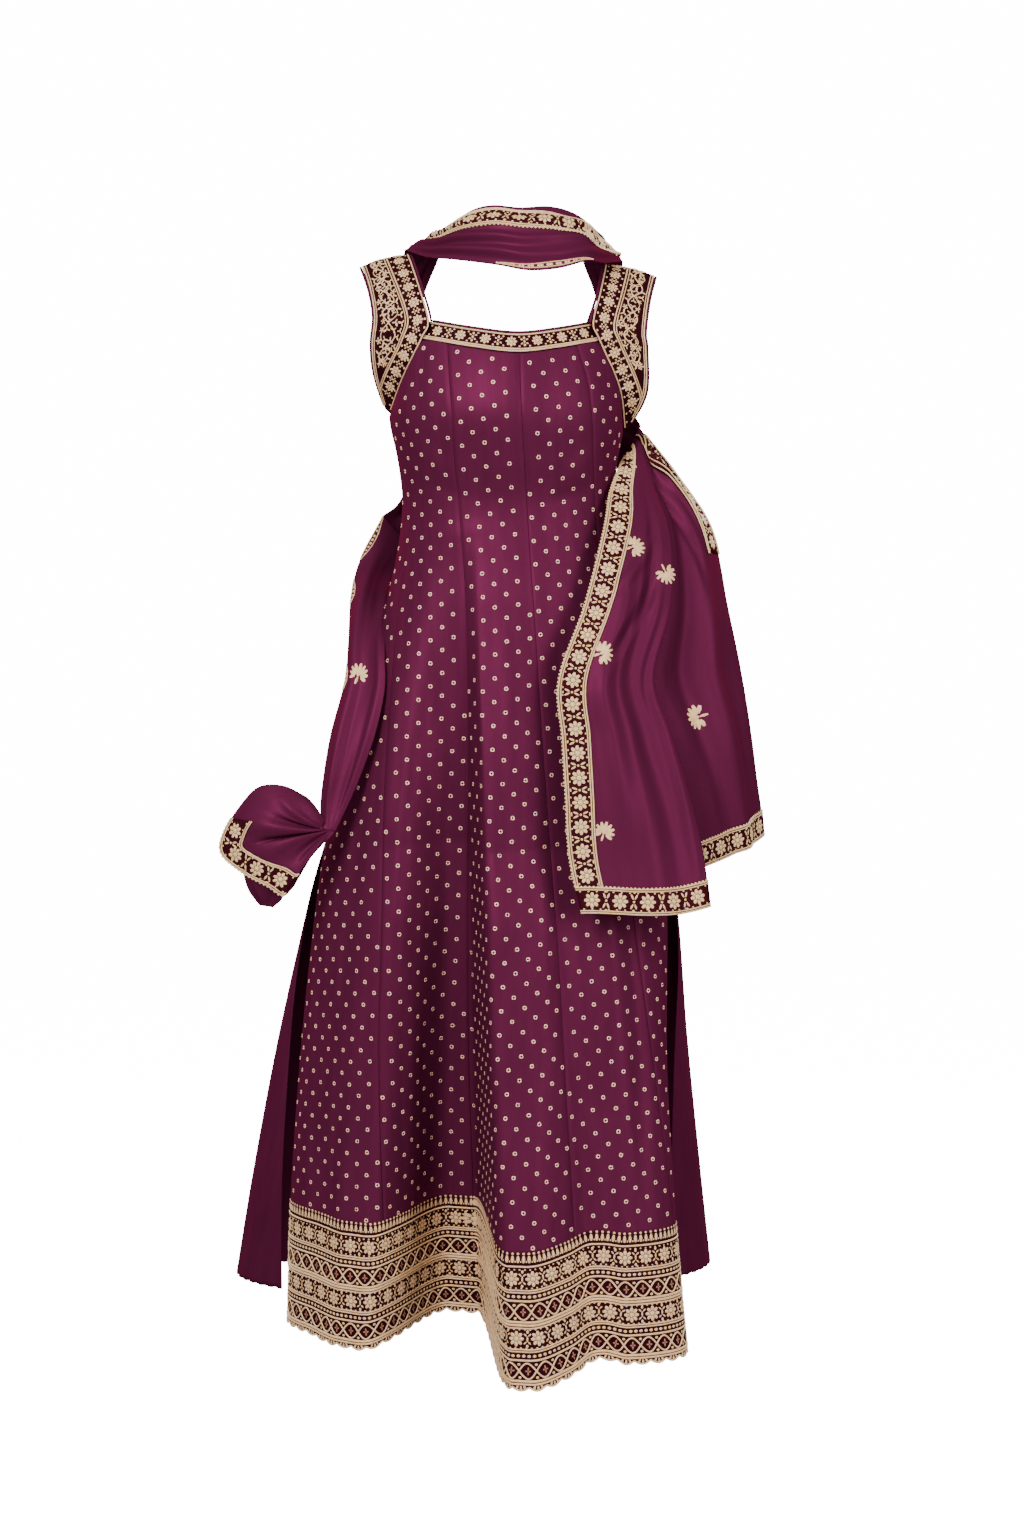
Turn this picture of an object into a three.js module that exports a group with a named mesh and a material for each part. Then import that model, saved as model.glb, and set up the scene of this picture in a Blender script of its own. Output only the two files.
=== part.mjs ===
// A kurti set: a sleeveless ankle-length kurti cut in flared kalis, and its dupatta.
//
// The kurti stands filled out as it is worn, open at the neck, armholes, side slits
// and hem. The dupatta lies across the front of the neck, both ends fall behind the
// shoulders, and each comes forward again at a side of the body.
//
// Millimetres, +Z up. The front faces -Y, and left and right are as seen from the
// front. The origin is midway between the tops of the two shoulders.
import * as THREE from 'three';

// ---------------------------------------------------------------- driving dimensions

const KURTI_WALL = 1.4; // satin with its cotton backing
const BAND_WALL = 1.8; // the same cloth under heavy embroidery
const DUPATTA_WALL = 1.2; // one layer of soft satin
const SEAM_GAP = 0.3; // clearance from piece to piece at a seam
const SLANT_GAP = 0.5; // clearance where straps, bands and kalis meet at a slant
const BORDER_GAP = 1.6; // clearance above the hem border, whose top edge dips with the folds
const PIPING_RADIUS = 1.5; // cord covered with plum satin, on the neck and armholes

const HEM_Z = -1284; // hem of the front below the shoulders
const BACK_HEM_Z = -1276; // hem of the plain back
const HEM_BAND_HEIGHT = 147; // embroidered border along the front hem
const NECK_BAND_HEIGHT = 22; // embroidered band along the square neck
const SLIT_TOP_Z = -690; // the side seams are open below this height
const SCALLOP_PITCH = 20; // scallops along the bottom of the front border
const SCALLOP_DEPTH = 4;
const LACE_WIDTH = 32; // flower lace round the edges of the dupatta

// ------------------------------------------------------------------- colours, finish

const PLUM = 0x6d2147;
const GOLD = 0xc9ab86;

function clothMaterial(name, color, roughness, metalness) {
  return new THREE.MeshStandardMaterial({ name, color, roughness, metalness });
}

const plumSatin = () => clothMaterial('plum satin', PLUM, 0.42, 0.0);
const goldEmbroidery = () => clothMaterial('gold embroidery', GOLD, 0.55, 0.35);

// ------------------------------------------------------------------------ arithmetic

const HALF_TURN = Math.PI;
const RIGHT_ANGLE = Math.PI / 2;
const radians = THREE.MathUtils.degToRad;
const clamp = THREE.MathUtils.clamp;
const lerp = THREE.MathUtils.lerp;

function smoothStep(from, to, value) {
  const part = clamp((value - from) / (to - from), 0, 1);
  return part * part * (3 - 2 * part);
}

// A smooth curve through one column of a table whose rows are in order of `by`. Past
// the ends of the table it runs on straight.
function columnCurve(rows, by, name) {
  const slopes = rows.map((row, i) => {
    const before = rows[Math.max(i - 1, 0)];
    const after = rows[Math.min(i + 1, rows.length - 1)];
    return (after[name] - before[name]) / (after[by] - before[by]);
  });
  const descending = rows[0][by] > rows[rows.length - 1][by];
  return (at) => {
    const passed = (row) => (descending ? row[by] >= at : row[by] <= at);
    let i = 0;
    while (i < rows.length - 2 && passed(rows[i + 1])) i += 1;
    const low = rows[i];
    const high = rows[i + 1];
    const span = high[by] - low[by];
    const reached = (at - low[by]) / span;
    const part = clamp(reached, 0, 1);
    const beyond = reached - part;
    const part2 = part * part;
    const part3 = part2 * part;
    return (2 * part3 - 3 * part2 + 1) * low[name]
      + (part3 - 2 * part2 + part) * span * slopes[i]
      + (3 * part2 - 2 * part3) * high[name]
      + (part3 - part2) * span * slopes[i + 1]
      + beyond * span * slopes[beyond < 0 ? i : i + 1];
  };
}

function tableCurves(rows, by) {
  const names = Object.keys(rows[0]).filter((name) => name !== by);
  return Object.fromEntries(names.map((name) => [name, columnCurve(rows, by, name)]));
}

// ------------------------------------------------------------------- walls and cords

const PROBE = 1e-3; // step of the finite differences, as a share of the patch
const LENGTH_SAMPLES = 240; // points along a line whose length is measured
const SEARCH_HALVINGS = 40; // halvings of a range in which an edge is looked for

function surfaceNormal(surface, u, v) {
  const alongU = surface(u + PROBE, v).sub(surface(u - PROBE, v));
  const alongV = surface(u, v + PROBE).sub(surface(u, v - PROBE));
  return alongU.cross(alongV).normalize();
}

// A closed wall of cloth. `surface(u, v)` is its outer face, with u running to the
// right and v running down as seen from outside, and the wall lies behind that face.
function clothWall(surface, columns, rows, thickness) {
  const across = columns.length;
  const down = rows.length;
  const position = [];
  for (const depth of [0, thickness]) {
    for (const v of rows) {
      for (const u of columns) {
        const outward = surfaceNormal(surface, u, v).negate();
        const point = surface(u, v).addScaledVector(outward, -depth);
        position.push(point.x, point.y, point.z);
      }
    }
  }
  const index = [];
  const outer = (i, j) => j * across + i;
  const inner = (i, j) => across * down + j * across + i;
  const quad = (a, b, c, d) => index.push(a, b, c, a, c, d);
  for (let j = 0; j < down - 1; j += 1) {
    for (let i = 0; i < across - 1; i += 1) {
      quad(outer(i, j), outer(i, j + 1), outer(i + 1, j + 1), outer(i + 1, j));
      quad(inner(i, j), inner(i + 1, j), inner(i + 1, j + 1), inner(i, j + 1));
    }
  }
  for (let i = 0; i < across - 1; i += 1) {
    quad(outer(i, 0), outer(i + 1, 0), inner(i + 1, 0), inner(i, 0));
    quad(outer(i + 1, down - 1), outer(i, down - 1), inner(i, down - 1), inner(i + 1, down - 1));
  }
  for (let j = 0; j < down - 1; j += 1) {
    quad(outer(0, j + 1), outer(0, j), inner(0, j), inner(0, j + 1));
    quad(outer(across - 1, j), outer(across - 1, j + 1), inner(across - 1, j + 1), inner(across - 1, j));
  }
  const geometry = new THREE.BufferGeometry();
  geometry.setAttribute('position', new THREE.Float32BufferAttribute(position, 3));
  geometry.setIndex(index);
  geometry.computeVertexNormals();
  return geometry;
}

// A round cord through `points`; its rings stand square to the route.
function cordAlong(points, radius, sides, closed) {
  const count = points.length;
  const position = [];
  const neighbour = (i) => {
    const wrapped = closed ? (i + count) % count : clamp(i, 0, count - 1);
    return points[wrapped];
  };
  let side = new THREE.Vector3(0, 1, 0);
  points.forEach((point, i) => {
    const heading = neighbour(i + 1).clone().sub(neighbour(i - 1)).normalize();
    side = side.clone().addScaledVector(heading, -side.dot(heading)).normalize();
    const up = heading.clone().cross(side);
    for (let k = 0; k < sides; k += 1) {
      const turn = (2 * HALF_TURN * k) / sides;
      const ring = point.clone()
        .addScaledVector(side, radius * Math.cos(turn))
        .addScaledVector(up, radius * Math.sin(turn));
      position.push(ring.x, ring.y, ring.z);
    }
  });
  const index = [];
  const at = (i, k) => (i % count) * sides + (k % sides);
  for (let i = 0; i < (closed ? count : count - 1); i += 1) {
    for (let k = 0; k < sides; k += 1) {
      index.push(at(i, k), at(i + 1, k + 1), at(i + 1, k));
      index.push(at(i, k), at(i, k + 1), at(i + 1, k + 1));
    }
  }
  if (!closed) {
    for (let k = 1; k < sides - 1; k += 1) {
      index.push(at(0, 0), at(0, k + 1), at(0, k));
      index.push(at(count - 1, 0), at(count - 1, k), at(count - 1, k + 1));
    }
  }
  const geometry = new THREE.BufferGeometry();
  geometry.setAttribute('position', new THREE.Float32BufferAttribute(position, 3));
  geometry.setIndex(index);
  geometry.computeVertexNormals();
  return geometry;
}

function evenSteps(count, from = 0, to = 1) {
  return Array.from({ length: count + 1 }, (_, i) => lerp(from, to, i / count));
}

// Steps that are even in length along one line of the surface, so that a steep fold
// gets as many columns as it needs.
function evenAlong(count, lineAt) {
  const samples = evenSteps(LENGTH_SAMPLES);
  const lengths = [0];
  samples.slice(1).forEach((part, i) => {
    lengths.push(lengths[i] + lineAt(part).distanceTo(lineAt(samples[i])));
  });
  const total = lengths[lengths.length - 1];
  return evenSteps(count).map((share) => {
    const goal = share * total;
    const i = clamp(lengths.findIndex((length) => length >= goal), 1, samples.length - 1);
    const part = (goal - lengths[i - 1]) / (lengths[i] - lengths[i - 1]);
    return lerp(samples[i - 1], samples[i], part);
  });
}

const kurtiSet = new THREE.Group();

function addPiece(name, geometry, material) {
  const piece = new THREE.Mesh(geometry, material);
  piece.name = name;
  kurtiSet.add(piece);
}

// ------------------------------------------------------------------ the kurti's form

// Cross-sections of the front: its widest places, and how far its middle stands in
// front of them.
const FRONT_SECTIONS = [
  { z: -60, left: -126, right: 124, reach: 74 },
  { z: -100, left: -134, right: 131, reach: 98 },
  { z: -150, left: -140, right: 138, reach: 118 },
  { z: -190, left: -141, right: 139, reach: 124 },
  { z: -240, left: -131, right: 131, reach: 112 },
  { z: -290, left: -126, right: 126, reach: 98 },
  { z: -350, left: -133, right: 133, reach: 102 },
  { z: -410, left: -147, right: 147, reach: 112 },
  { z: -500, left: -170, right: 163, reach: 120 },
  { z: -600, left: -198, right: 177, reach: 126 },
  { z: -690, left: -219, right: 185, reach: 127 },
  { z: -780, left: -233, right: 190, reach: 118 },
  { z: -950, left: -252, right: 189, reach: 108 },
  { z: -1135, left: -266, right: 199, reach: 102 },
  { z: -1284, left: -271, right: 212, reach: 100 },
];

// The side edges of the front below the slits: how far back they lie, and turn, the
// degrees that the right one curls on behind its widest place.
const FRONT_EDGES = [
  { z: -690, leftY: 0, rightY: 0, turn: 0 },
  { z: -735, leftY: -1, rightY: -24, turn: 5 },
  { z: -780, leftY: -2, rightY: -45, turn: 14 },
  { z: -950, leftY: 4, rightY: -78, turn: 28 },
  { z: -1135, leftY: 8, rightY: -105, turn: 38 },
  { z: -1284, leftY: 10, rightY: -120, turn: 42 },
];

// Where the seams between the six front kalis cross each height.
const FRONT_SEAMS = [
  { z: -100, sideLeft: -133, princessLeft: -70, centre: 14, princessRight: 78 },
  { z: -150, sideLeft: -138.5, princessLeft: -67, centre: 14.5, princessRight: 93 },
  { z: -190, sideLeft: -138, princessLeft: -64, centre: 16, princessRight: 98 },
  { z: -240, sideLeft: -127, princessLeft: -62, centre: 19, princessRight: 100 },
  { z: -290, sideLeft: -120, princessLeft: -57, centre: 22, princessRight: 103 },
  { z: -410, sideLeft: -131, princessLeft: -49, centre: 30, princessRight: 113 },
  { z: -600, sideLeft: -144, princessLeft: -47, centre: 43, princessRight: 131 },
  { z: -780, sideLeft: -148, princessLeft: -47, centre: 57, princessRight: 148 },
  { z: -950, sideLeft: -152, princessLeft: -47, centre: 67, princessRight: 172 },
  { z: -1135, sideLeft: -146, princessLeft: -42, centre: 78, princessRight: 196 },
  { z: -1284, sideLeft: -144, princessLeft: -40, centre: 86, princessRight: 210 },
];

// Folds of the front. Each starts at startZ and grows down to the hem. enter and
// settle bound its left flank, leave and end its right one, at the start and at the
// hem. depth is its height at the hem, inward if above 0; lift raises the hem there.
const FRONT_FOLDS = [
  {
    startZ: -330, growth: 1.15, depth: 146, lift: 13,
    start: { enter: -108, settle: -64, leave: -54, end: -36 },
    hem: { enter: -170, settle: -70, leave: -37, end: -6 },
  },
  {
    startZ: -420, growth: 1.3, depth: -56, lift: -15,
    start: { enter: -54, settle: -34, leave: -14, end: 60 },
    hem: { enter: -28, settle: 6, leave: 26, end: 112 },
  },
  {
    startZ: -640, growth: 1.4, depth: 9, lift: 4,
    start: { enter: 50, settle: 80, leave: 84, end: 118 },
    hem: { enter: 74, settle: 100, leave: 112, end: 142 },
  },
  {
    startZ: -560, growth: 1.2, depth: -12, lift: -3,
    start: { enter: -190, settle: -150, leave: -140, end: -108 },
    hem: { enter: -246, settle: -206, leave: -182, end: -140 },
  },
];

const WRAP_REACH = 150; // how far back the curled right edge of the front would go
const CHEST_FULLNESS = 0.82; // below 1 a section is squarer than an ellipse
const FULL_CHEST_Z = -200;
const ROUND_SKIRT_Z = -420;
const FLAT_SIDES = 0.25; // folds die out where the cloth turns away to the sides

const frontSection = tableCurves(FRONT_SECTIONS, 'z');
const frontSeam = tableCurves(FRONT_SEAMS, 'z');
const frontEdges = tableCurves(FRONT_EDGES, 'z');

// Above the slits the side edges of front and back meet at the middle of the body.
function frontEdge(name, level) {
  return level > SLIT_TOP_Z ? 0 : frontEdges[name](level);
}

function foldShare(fold, x, level) {
  const growth = clamp((level - fold.startZ) / (HEM_Z - fold.startZ), 0, 1);
  const place = (name) => lerp(fold.start[name], fold.hem[name], growth);
  const rise = smoothStep(place('enter'), place('settle'), x);
  const fall = 1 - smoothStep(place('leave'), place('end'), x);
  return rise * fall * growth ** fold.growth;
}

// The front of the kurti at an angle from its middle (-90 degrees is the left side)
// and at a level, which is the height of a row of cloth before the folds lift it.
function kurtiFront(angle, level) {
  const left = frontSection.left(level);
  const right = frontSection.right(level);
  const side = Math.sin(angle);
  const facing = Math.cos(angle);
  const x = (left + right) / 2 + ((right - left) / 2) * side;
  const sideY = lerp(frontEdge('leftY', level), frontEdge('rightY', level), (side + 1) / 2);
  const power = lerp(CHEST_FULLNESS, 1, smoothStep(FULL_CHEST_Z, ROUND_SKIRT_Z, level));
  const reach = facing < 0 ? WRAP_REACH : frontSection.reach(level);
  const bow = Math.sign(facing) * Math.abs(facing) ** power;
  const foldFade = smoothStep(0, FLAT_SIDES, facing);
  let y = sideY - reach * bow;
  let z = level;
  for (const fold of FRONT_FOLDS) {
    const share = foldShare(fold, x, level) * foldFade;
    y += fold.depth * share;
    z += fold.lift * share;
  }
  return new THREE.Vector3(x, y, z);
}

function frontAngleAt(x, level) {
  const left = frontSection.left(level);
  const right = frontSection.right(level);
  const share = (2 * x - left - right) / (right - left);
  return Math.asin(clamp(share, -1, 1));
}

// A point on the front by its width and level.
function frontPoint(x, level) {
  return kurtiFront(frontAngleAt(x, level), level);
}

// ---------------------------------------------------------------- neck and yoke lines

// The lines along which the kalis and the neck band meet the two straps.
const LEFT_YOKE = [
  { z: -80, x: -91 },
  { z: -100, x: -99 },
  { z: -142, x: -121 },
  { z: -184, x: -139 },
];
const RIGHT_YOKE = [
  { z: -82, x: 98 },
  { z: -102, x: 106 },
  { z: -155, x: 130 },
  { z: -206, x: 136.5 },
];
const leftYokeX = columnCurve(LEFT_YOKE, 'z', 'x');
const rightYokeX = columnCurve(RIGHT_YOKE, 'z', 'x');

// The top edge of the neck band dips a little towards the middle.
const NECK_TOP = [
  { x: -91, z: -80 },
  { x: -40, z: -90 },
  { x: 12, z: -96 },
  { x: 60, z: -90 },
  { x: 98, z: -82 },
];
const neckTopZ = columnCurve(NECK_TOP, 'x', 'z');
const neckBottomZ = (x) => neckTopZ(x) - NECK_BAND_HEIGHT;

// The highest level that a column of the front reaches: the bottom of the neck band in
// the middle, and the yoke line of a strap beyond it.
function frontTopLevel(xAt) {
  let high = NECK_TOP[0].z - NECK_BAND_HEIGHT;
  let low = RIGHT_YOKE[RIGHT_YOKE.length - 1].z;
  const isCloth = (level) => {
    const x = xAt(level);
    const clearOfStraps = x > leftYokeX(level) && x < rightYokeX(level);
    return clearOfStraps && level < neckBottomZ(clamp(x, NECK_TOP[0].x, NECK_TOP[4].x));
  };
  for (let step = 0; step < SEARCH_HALVINGS; step += 1) {
    const middle = (high + low) / 2;
    if (isCloth(middle)) low = middle;
    else high = middle;
  }
  return low;
}

// ----------------------------------------------------------------------- front kalis

const BAND_TOP_LEVEL = HEM_Z + HEM_BAND_HEIGHT;
const KALI_ROWS = 24;
const ROW_BIAS = 0.92; // rows stand a little closer together over the chest

const rightEdgeAngle = (level) => RIGHT_ANGLE + radians(frontEdge('turn', level));
const seamAngles = {
  left: () => -RIGHT_ANGLE,
  sideLeft: (level) => frontAngleAt(frontSeam.sideLeft(level), level),
  princessLeft: (level) => frontAngleAt(frontSeam.princessLeft(level), level),
  centre: (level) => frontAngleAt(frontSeam.centre(level), level),
  princessRight: (level) => frontAngleAt(frontSeam.princessRight(level), level),
  sideRight: (level) => lerp(seamAngles.princessRight(level), rightEdgeAngle(level), 0.55),
  right: rightEdgeAngle,
};

const FRONT_KALIS = [
  { name: 'front_kali_side_left', from: 'left', to: 'sideLeft', columns: 4 },
  { name: 'front_kali_left', from: 'sideLeft', to: 'princessLeft', columns: 7 },
  { name: 'front_kali_middle_left', from: 'princessLeft', to: 'centre', columns: 9 },
  { name: 'front_kali_middle_right', from: 'centre', to: 'princessRight', columns: 6 },
  { name: 'front_kali_right', from: 'princessRight', to: 'sideRight', columns: 3 },
  { name: 'front_kali_side_right', from: 'sideRight', to: 'right', columns: 3 },
];

// Half a seam gap at one place of the front or the back, as an angle.
function seamMargin(form, angle, level) {
  const travel = form(angle + PROBE, level).distanceTo(form(angle - PROBE, level));
  return (SEAM_GAP * PROBE) / travel;
}

function kaliAngle(kali, u, level) {
  const from = seamAngles[kali.from](level);
  const to = seamAngles[kali.to](level);
  const fromMargin = seamMargin(kurtiFront, from, level);
  const toMargin = seamMargin(kurtiFront, to, level);
  return lerp(from + fromMargin, to - toMargin, u);
}

function frontKali(kali) {
  const hemLine = (u) => kurtiFront(kaliAngle(kali, u, BAND_TOP_LEVEL), BAND_TOP_LEVEL);
  const topLevels = new Map();
  const topOf = (u) => {
    if (!topLevels.has(u)) {
      topLevels.set(u, frontTopLevel((level) => kurtiFront(kaliAngle(kali, u, level), level).x));
    }
    return topLevels.get(u) - SLANT_GAP / 2;
  };
  const surface = (u, v) => {
    const level = lerp(topOf(u), BAND_TOP_LEVEL + BORDER_GAP / 2, v ** ROW_BIAS);
    return kurtiFront(kaliAngle(kali, u, level), level);
  };
  return clothWall(surface, evenAlong(kali.columns, hemLine), evenSteps(KALI_ROWS, PROBE, 1), KURTI_WALL);
}

for (const kali of FRONT_KALIS) {
  addPiece(kali.name, frontKali(kali), plumSatin());
}

// ---------------------------------------------------------- embroidered border, front

// The border runs unbroken across all six kalis, with a scalloped lower edge.
function hemBorder() {
  const angleAt = (u, level) => lerp(-RIGHT_ANGLE, rightEdgeAngle(level), u);
  const hemLine = (u) => kurtiFront(angleAt(u, HEM_Z), HEM_Z);
  let length = 0;
  const samples = evenSteps(LENGTH_SAMPLES);
  samples.slice(1).forEach((part, i) => {
    length += hemLine(part).distanceTo(hemLine(samples[i]));
  });
  const scallops = Math.round(length / SCALLOP_PITCH);
  const columns = evenAlong(scallops * 2, hemLine);
  const scallopAt = (u) => {
    const i = clamp(columns.findIndex((edge) => edge >= u), 1, columns.length - 1);
    const part = (u - columns[i - 1]) / (columns[i] - columns[i - 1]);
    return Math.abs(Math.sin((HALF_TURN * (i - 1 + part)) / 2));
  };
  const surface = (u, v) => {
    const bottom = HEM_Z - SCALLOP_DEPTH * scallopAt(u);
    const level = lerp(BAND_TOP_LEVEL - BORDER_GAP / 2, bottom, v);
    return kurtiFront(angleAt(u, level), level);
  };
  return clothWall(surface, columns, evenSteps(3), BAND_WALL);
}

addPiece('hem_border_front', hemBorder(), goldEmbroidery());

// -------------------------------------------------------------------------- neck band

function neckBandFront() {
  const surface = (u, v) => {
    const nominal = lerp(NECK_TOP[0].z, NECK_TOP[0].z - NECK_BAND_HEIGHT, v);
    const left = leftYokeX(nominal) + SLANT_GAP;
    const right = rightYokeX(nominal) - SLANT_GAP;
    const x = lerp(left, right, u);
    const level = lerp(neckTopZ(x), neckBottomZ(x) + SLANT_GAP / 2, v);
    return frontPoint(x, level);
  };
  return clothWall(surface, evenSteps(14), evenSteps(2), BAND_WALL);
}

addPiece('neck_band_front', neckBandFront(), goldEmbroidery());

// ------------------------------------------------------------------------ plain back

// How far the middle of the back stands behind its side edges.
const BACK_REACH = [
  { z: -60, reach: 66 },
  { z: -100, reach: 86 },
  { z: -150, reach: 97 },
  { z: -190, reach: 100 },
  { z: -240, reach: 95 },
  { z: -290, reach: 88 },
  { z: -350, reach: 95 },
  { z: -410, reach: 110 },
  { z: -500, reach: 128 },
  { z: -600, reach: 137 },
  { z: -690, reach: 146 },
  { z: -780, reach: 132 },
  { z: -950, reach: 108 },
  { z: -1135, reach: 96 },
  { z: -1276, reach: 86 },
];

// The side edges of the back below the slits: its widest places, their depths, and
// turn, the degrees that each edge curls on in front of them. Above the slits the
// back meets the front, edge to edge.
const BACK_EDGES = [
  { z: -690, left: -219, right: 185, leftY: 0, rightY: 0, turn: 0 },
  { z: -735, left: -233, right: 197, leftY: 13, rightY: 13, turn: 0 },
  { z: -780, left: -245, right: 207, leftY: 27, rightY: 27, turn: 5 },
  { z: -950, left: -286, right: 224, leftY: 78, rightY: 90, turn: 22 },
  { z: -1135, left: -325, right: 247, leftY: 140, rightY: 172, turn: 32 },
  { z: -1276, left: -352, right: 266, leftY: 194, rightY: 246, turn: 38 },
];
const BACK_CURL_REACH = 150; // how far forward the curled edges would go
const backReach = columnCurve(BACK_REACH, 'z', 'reach');
const backEdges = tableCurves(BACK_EDGES, 'z');

function backEdge(name, level) {
  return level > SLIT_TOP_Z ? 0 : backEdges[name](level);
}

function backWidest(name, level) {
  return level > SLIT_TOP_Z ? frontSection[name](level) : backEdges[name](level);
}

// Soft flutes of the plain skirt: the angle that each runs down, its width and its
// depth at the hem, inward if above 0.
const BACK_FLUTES = [
  { angle: -62, width: 20, depth: 18 },
  { angle: -24, width: 24, depth: 26 },
  { angle: 14, width: 22, depth: 22 },
  { angle: 50, width: 20, depth: 20 },
];
const FLUTE_TOP_Z = -480;

function kurtiBack(angle, level) {
  const left = backWidest('left', level);
  const right = backWidest('right', level);
  const side = Math.sin(angle);
  const facing = Math.cos(angle);
  const x = (left + right) / 2 + ((right - left) / 2) * side;
  const sideY = lerp(backEdge('leftY', level), backEdge('rightY', level), (side + 1) / 2);
  const power = lerp(CHEST_FULLNESS, 1, smoothStep(FULL_CHEST_Z, ROUND_SKIRT_Z, level));
  const reach = facing < 0 ? BACK_CURL_REACH : backReach(level);
  const bow = Math.sign(facing) * Math.abs(facing) ** power;
  const growth = clamp((level - FLUTE_TOP_Z) / (BACK_HEM_Z - FLUTE_TOP_Z), 0, 1);
  let y = sideY + reach * bow;
  for (const flute of BACK_FLUTES) {
    const away = Math.abs(angle - radians(flute.angle)) / radians(flute.width);
    y -= flute.depth * growth * (1 - smoothStep(0, 1, away));
  }
  return new THREE.Vector3(x, y, level);
}

// The back neck is square like the front one, under straight yoke lines.
const BACK_NECK_TOP_Z = -84;
const backNeckBottomZ = BACK_NECK_TOP_Z - NECK_BAND_HEIGHT;
const BACK_YOKE_LEFT = [
  { z: -84, x: -96 },
  { z: -106, x: -105 },
  { z: -184, x: -139 },
];
const BACK_YOKE_RIGHT = [
  { z: -84, x: 96 },
  { z: -106, x: 105 },
  { z: -206, x: 136.5 },
];
const backYokeLeftX = columnCurve(BACK_YOKE_LEFT, 'z', 'x');
const backYokeRightX = columnCurve(BACK_YOKE_RIGHT, 'z', 'x');

function backAngleAt(x, level) {
  const left = backWidest('left', level);
  const right = backWidest('right', level);
  return Math.asin(clamp((2 * x - left - right) / (right - left), -1, 1));
}

function backEdgeAngle(level) {
  return RIGHT_ANGLE + radians(backEdge('turn', level));
}

// The back is cut in two flared halves with a seam down its middle. Each runs between
// two shares of the way round from the right edge.
const BACK_HALVES = [
  { name: 'back_half_right', from: 0, to: 0.5 },
  { name: 'back_half_left', from: 0.5, to: 1 },
];
const BACK_COLUMNS = 14;
const BACK_ROWS = 20;

function backHalf(half) {
  const angleAt = (u, level) => {
    const edge = backEdgeAngle(level);
    const from = lerp(edge, -edge, half.from);
    const to = lerp(edge, -edge, half.to);
    const fromMargin = seamMargin(kurtiBack, from, level);
    const toMargin = seamMargin(kurtiBack, to, level);
    return lerp(from - fromMargin, to + toMargin, u);
  };
  const topOf = (u) => {
    let high = backNeckBottomZ;
    let low = BACK_YOKE_RIGHT[2].z;
    for (let step = 0; step < SEARCH_HALVINGS; step += 1) {
      const middle = (high + low) / 2;
      const x = kurtiBack(angleAt(u, middle), middle).x;
      if (x > backYokeLeftX(middle) && x < backYokeRightX(middle)) low = middle;
      else high = middle;
    }
    return low - SLANT_GAP / 2;
  };
  const surface = (u, v) => {
    const level = lerp(topOf(clamp(u, 0, 1)), BACK_HEM_Z, v);
    return kurtiBack(angleAt(u, level), level);
  };
  const hemLine = (u) => kurtiBack(angleAt(u, BACK_HEM_Z), BACK_HEM_Z);
  const columns = evenAlong(BACK_COLUMNS, hemLine);
  return clothWall(surface, columns, evenSteps(BACK_ROWS), KURTI_WALL);
}

for (const half of BACK_HALVES) {
  addPiece(half.name, backHalf(half), plumSatin());
}

function neckBandBack() {
  const surface = (u, v) => {
    const level = lerp(BACK_NECK_TOP_Z, backNeckBottomZ + SLANT_GAP / 2, v);
    const left = backYokeLeftX(level) + SLANT_GAP;
    const right = backYokeRightX(level) - SLANT_GAP;
    return kurtiBack(backAngleAt(lerp(right, left, u), level), level);
  };
  return clothWall(surface, evenSteps(12), evenSteps(1), BAND_WALL);
}

addPiece('neck_band_back', neckBandBack(), plumSatin());

// ----------------------------------------------------------------------------- strips

// A length of cloth between two edges. Each row of a table is a station along it, and
// gives the edge on the left and the edge on the right, as seen from outside with the
// stations running down. puff is how far the middle stands out before the edges.
function stripSurface(rows) {
  const numbered = rows.map((row, i) => ({ ...row, station: i }));
  const curves = tableCurves(numbered, 'station');
  const last = rows.length - 1;
  const edge = (side, along) => new THREE.Vector3(
    curves[`${side}X`](along * last),
    curves[`${side}Y`](along * last),
    curves[`${side}Z`](along * last),
  );
  const flat = (across, along) => edge('left', along).lerp(edge('right', along), across);
  return raised(flat, (across, along) => curves.puff(along * last) * 4 * across * (1 - across));
}

// The same surface raised by `heightAt(across, along)` along its own normal.
function raised(surface, heightAt) {
  return (across, along) => {
    const outward = surfaceNormal(surface, across, along).negate();
    return surface(across, along).addScaledVector(outward, heightAt(across, along));
  };
}

const PLEAT_FADE = 0.25; // share of a strip over which a pleat grows or dies out

// Soft pleats that run along a strip. Each has its place and half-width as shares of
// the strip's width, its height in millimetres, and where along the strip it begins
// and ends; a height below 0 is a trough.
function pleated(surface, pleats) {
  return raised(surface, (across, along) => pleats.reduce((height, pleat) => {
    const away = Math.abs(across - pleat.at) / pleat.half;
    const grown = smoothStep(pleat.begins, pleat.begins + PLEAT_FADE, along);
    const faded = 1 - smoothStep(pleat.ends - PLEAT_FADE, pleat.ends, along);
    return height + pleat.height * (1 - smoothStep(0, 1, away)) * grown * faded;
  }, 0));
}

// ----------------------------------------------------------------------------- straps

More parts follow.
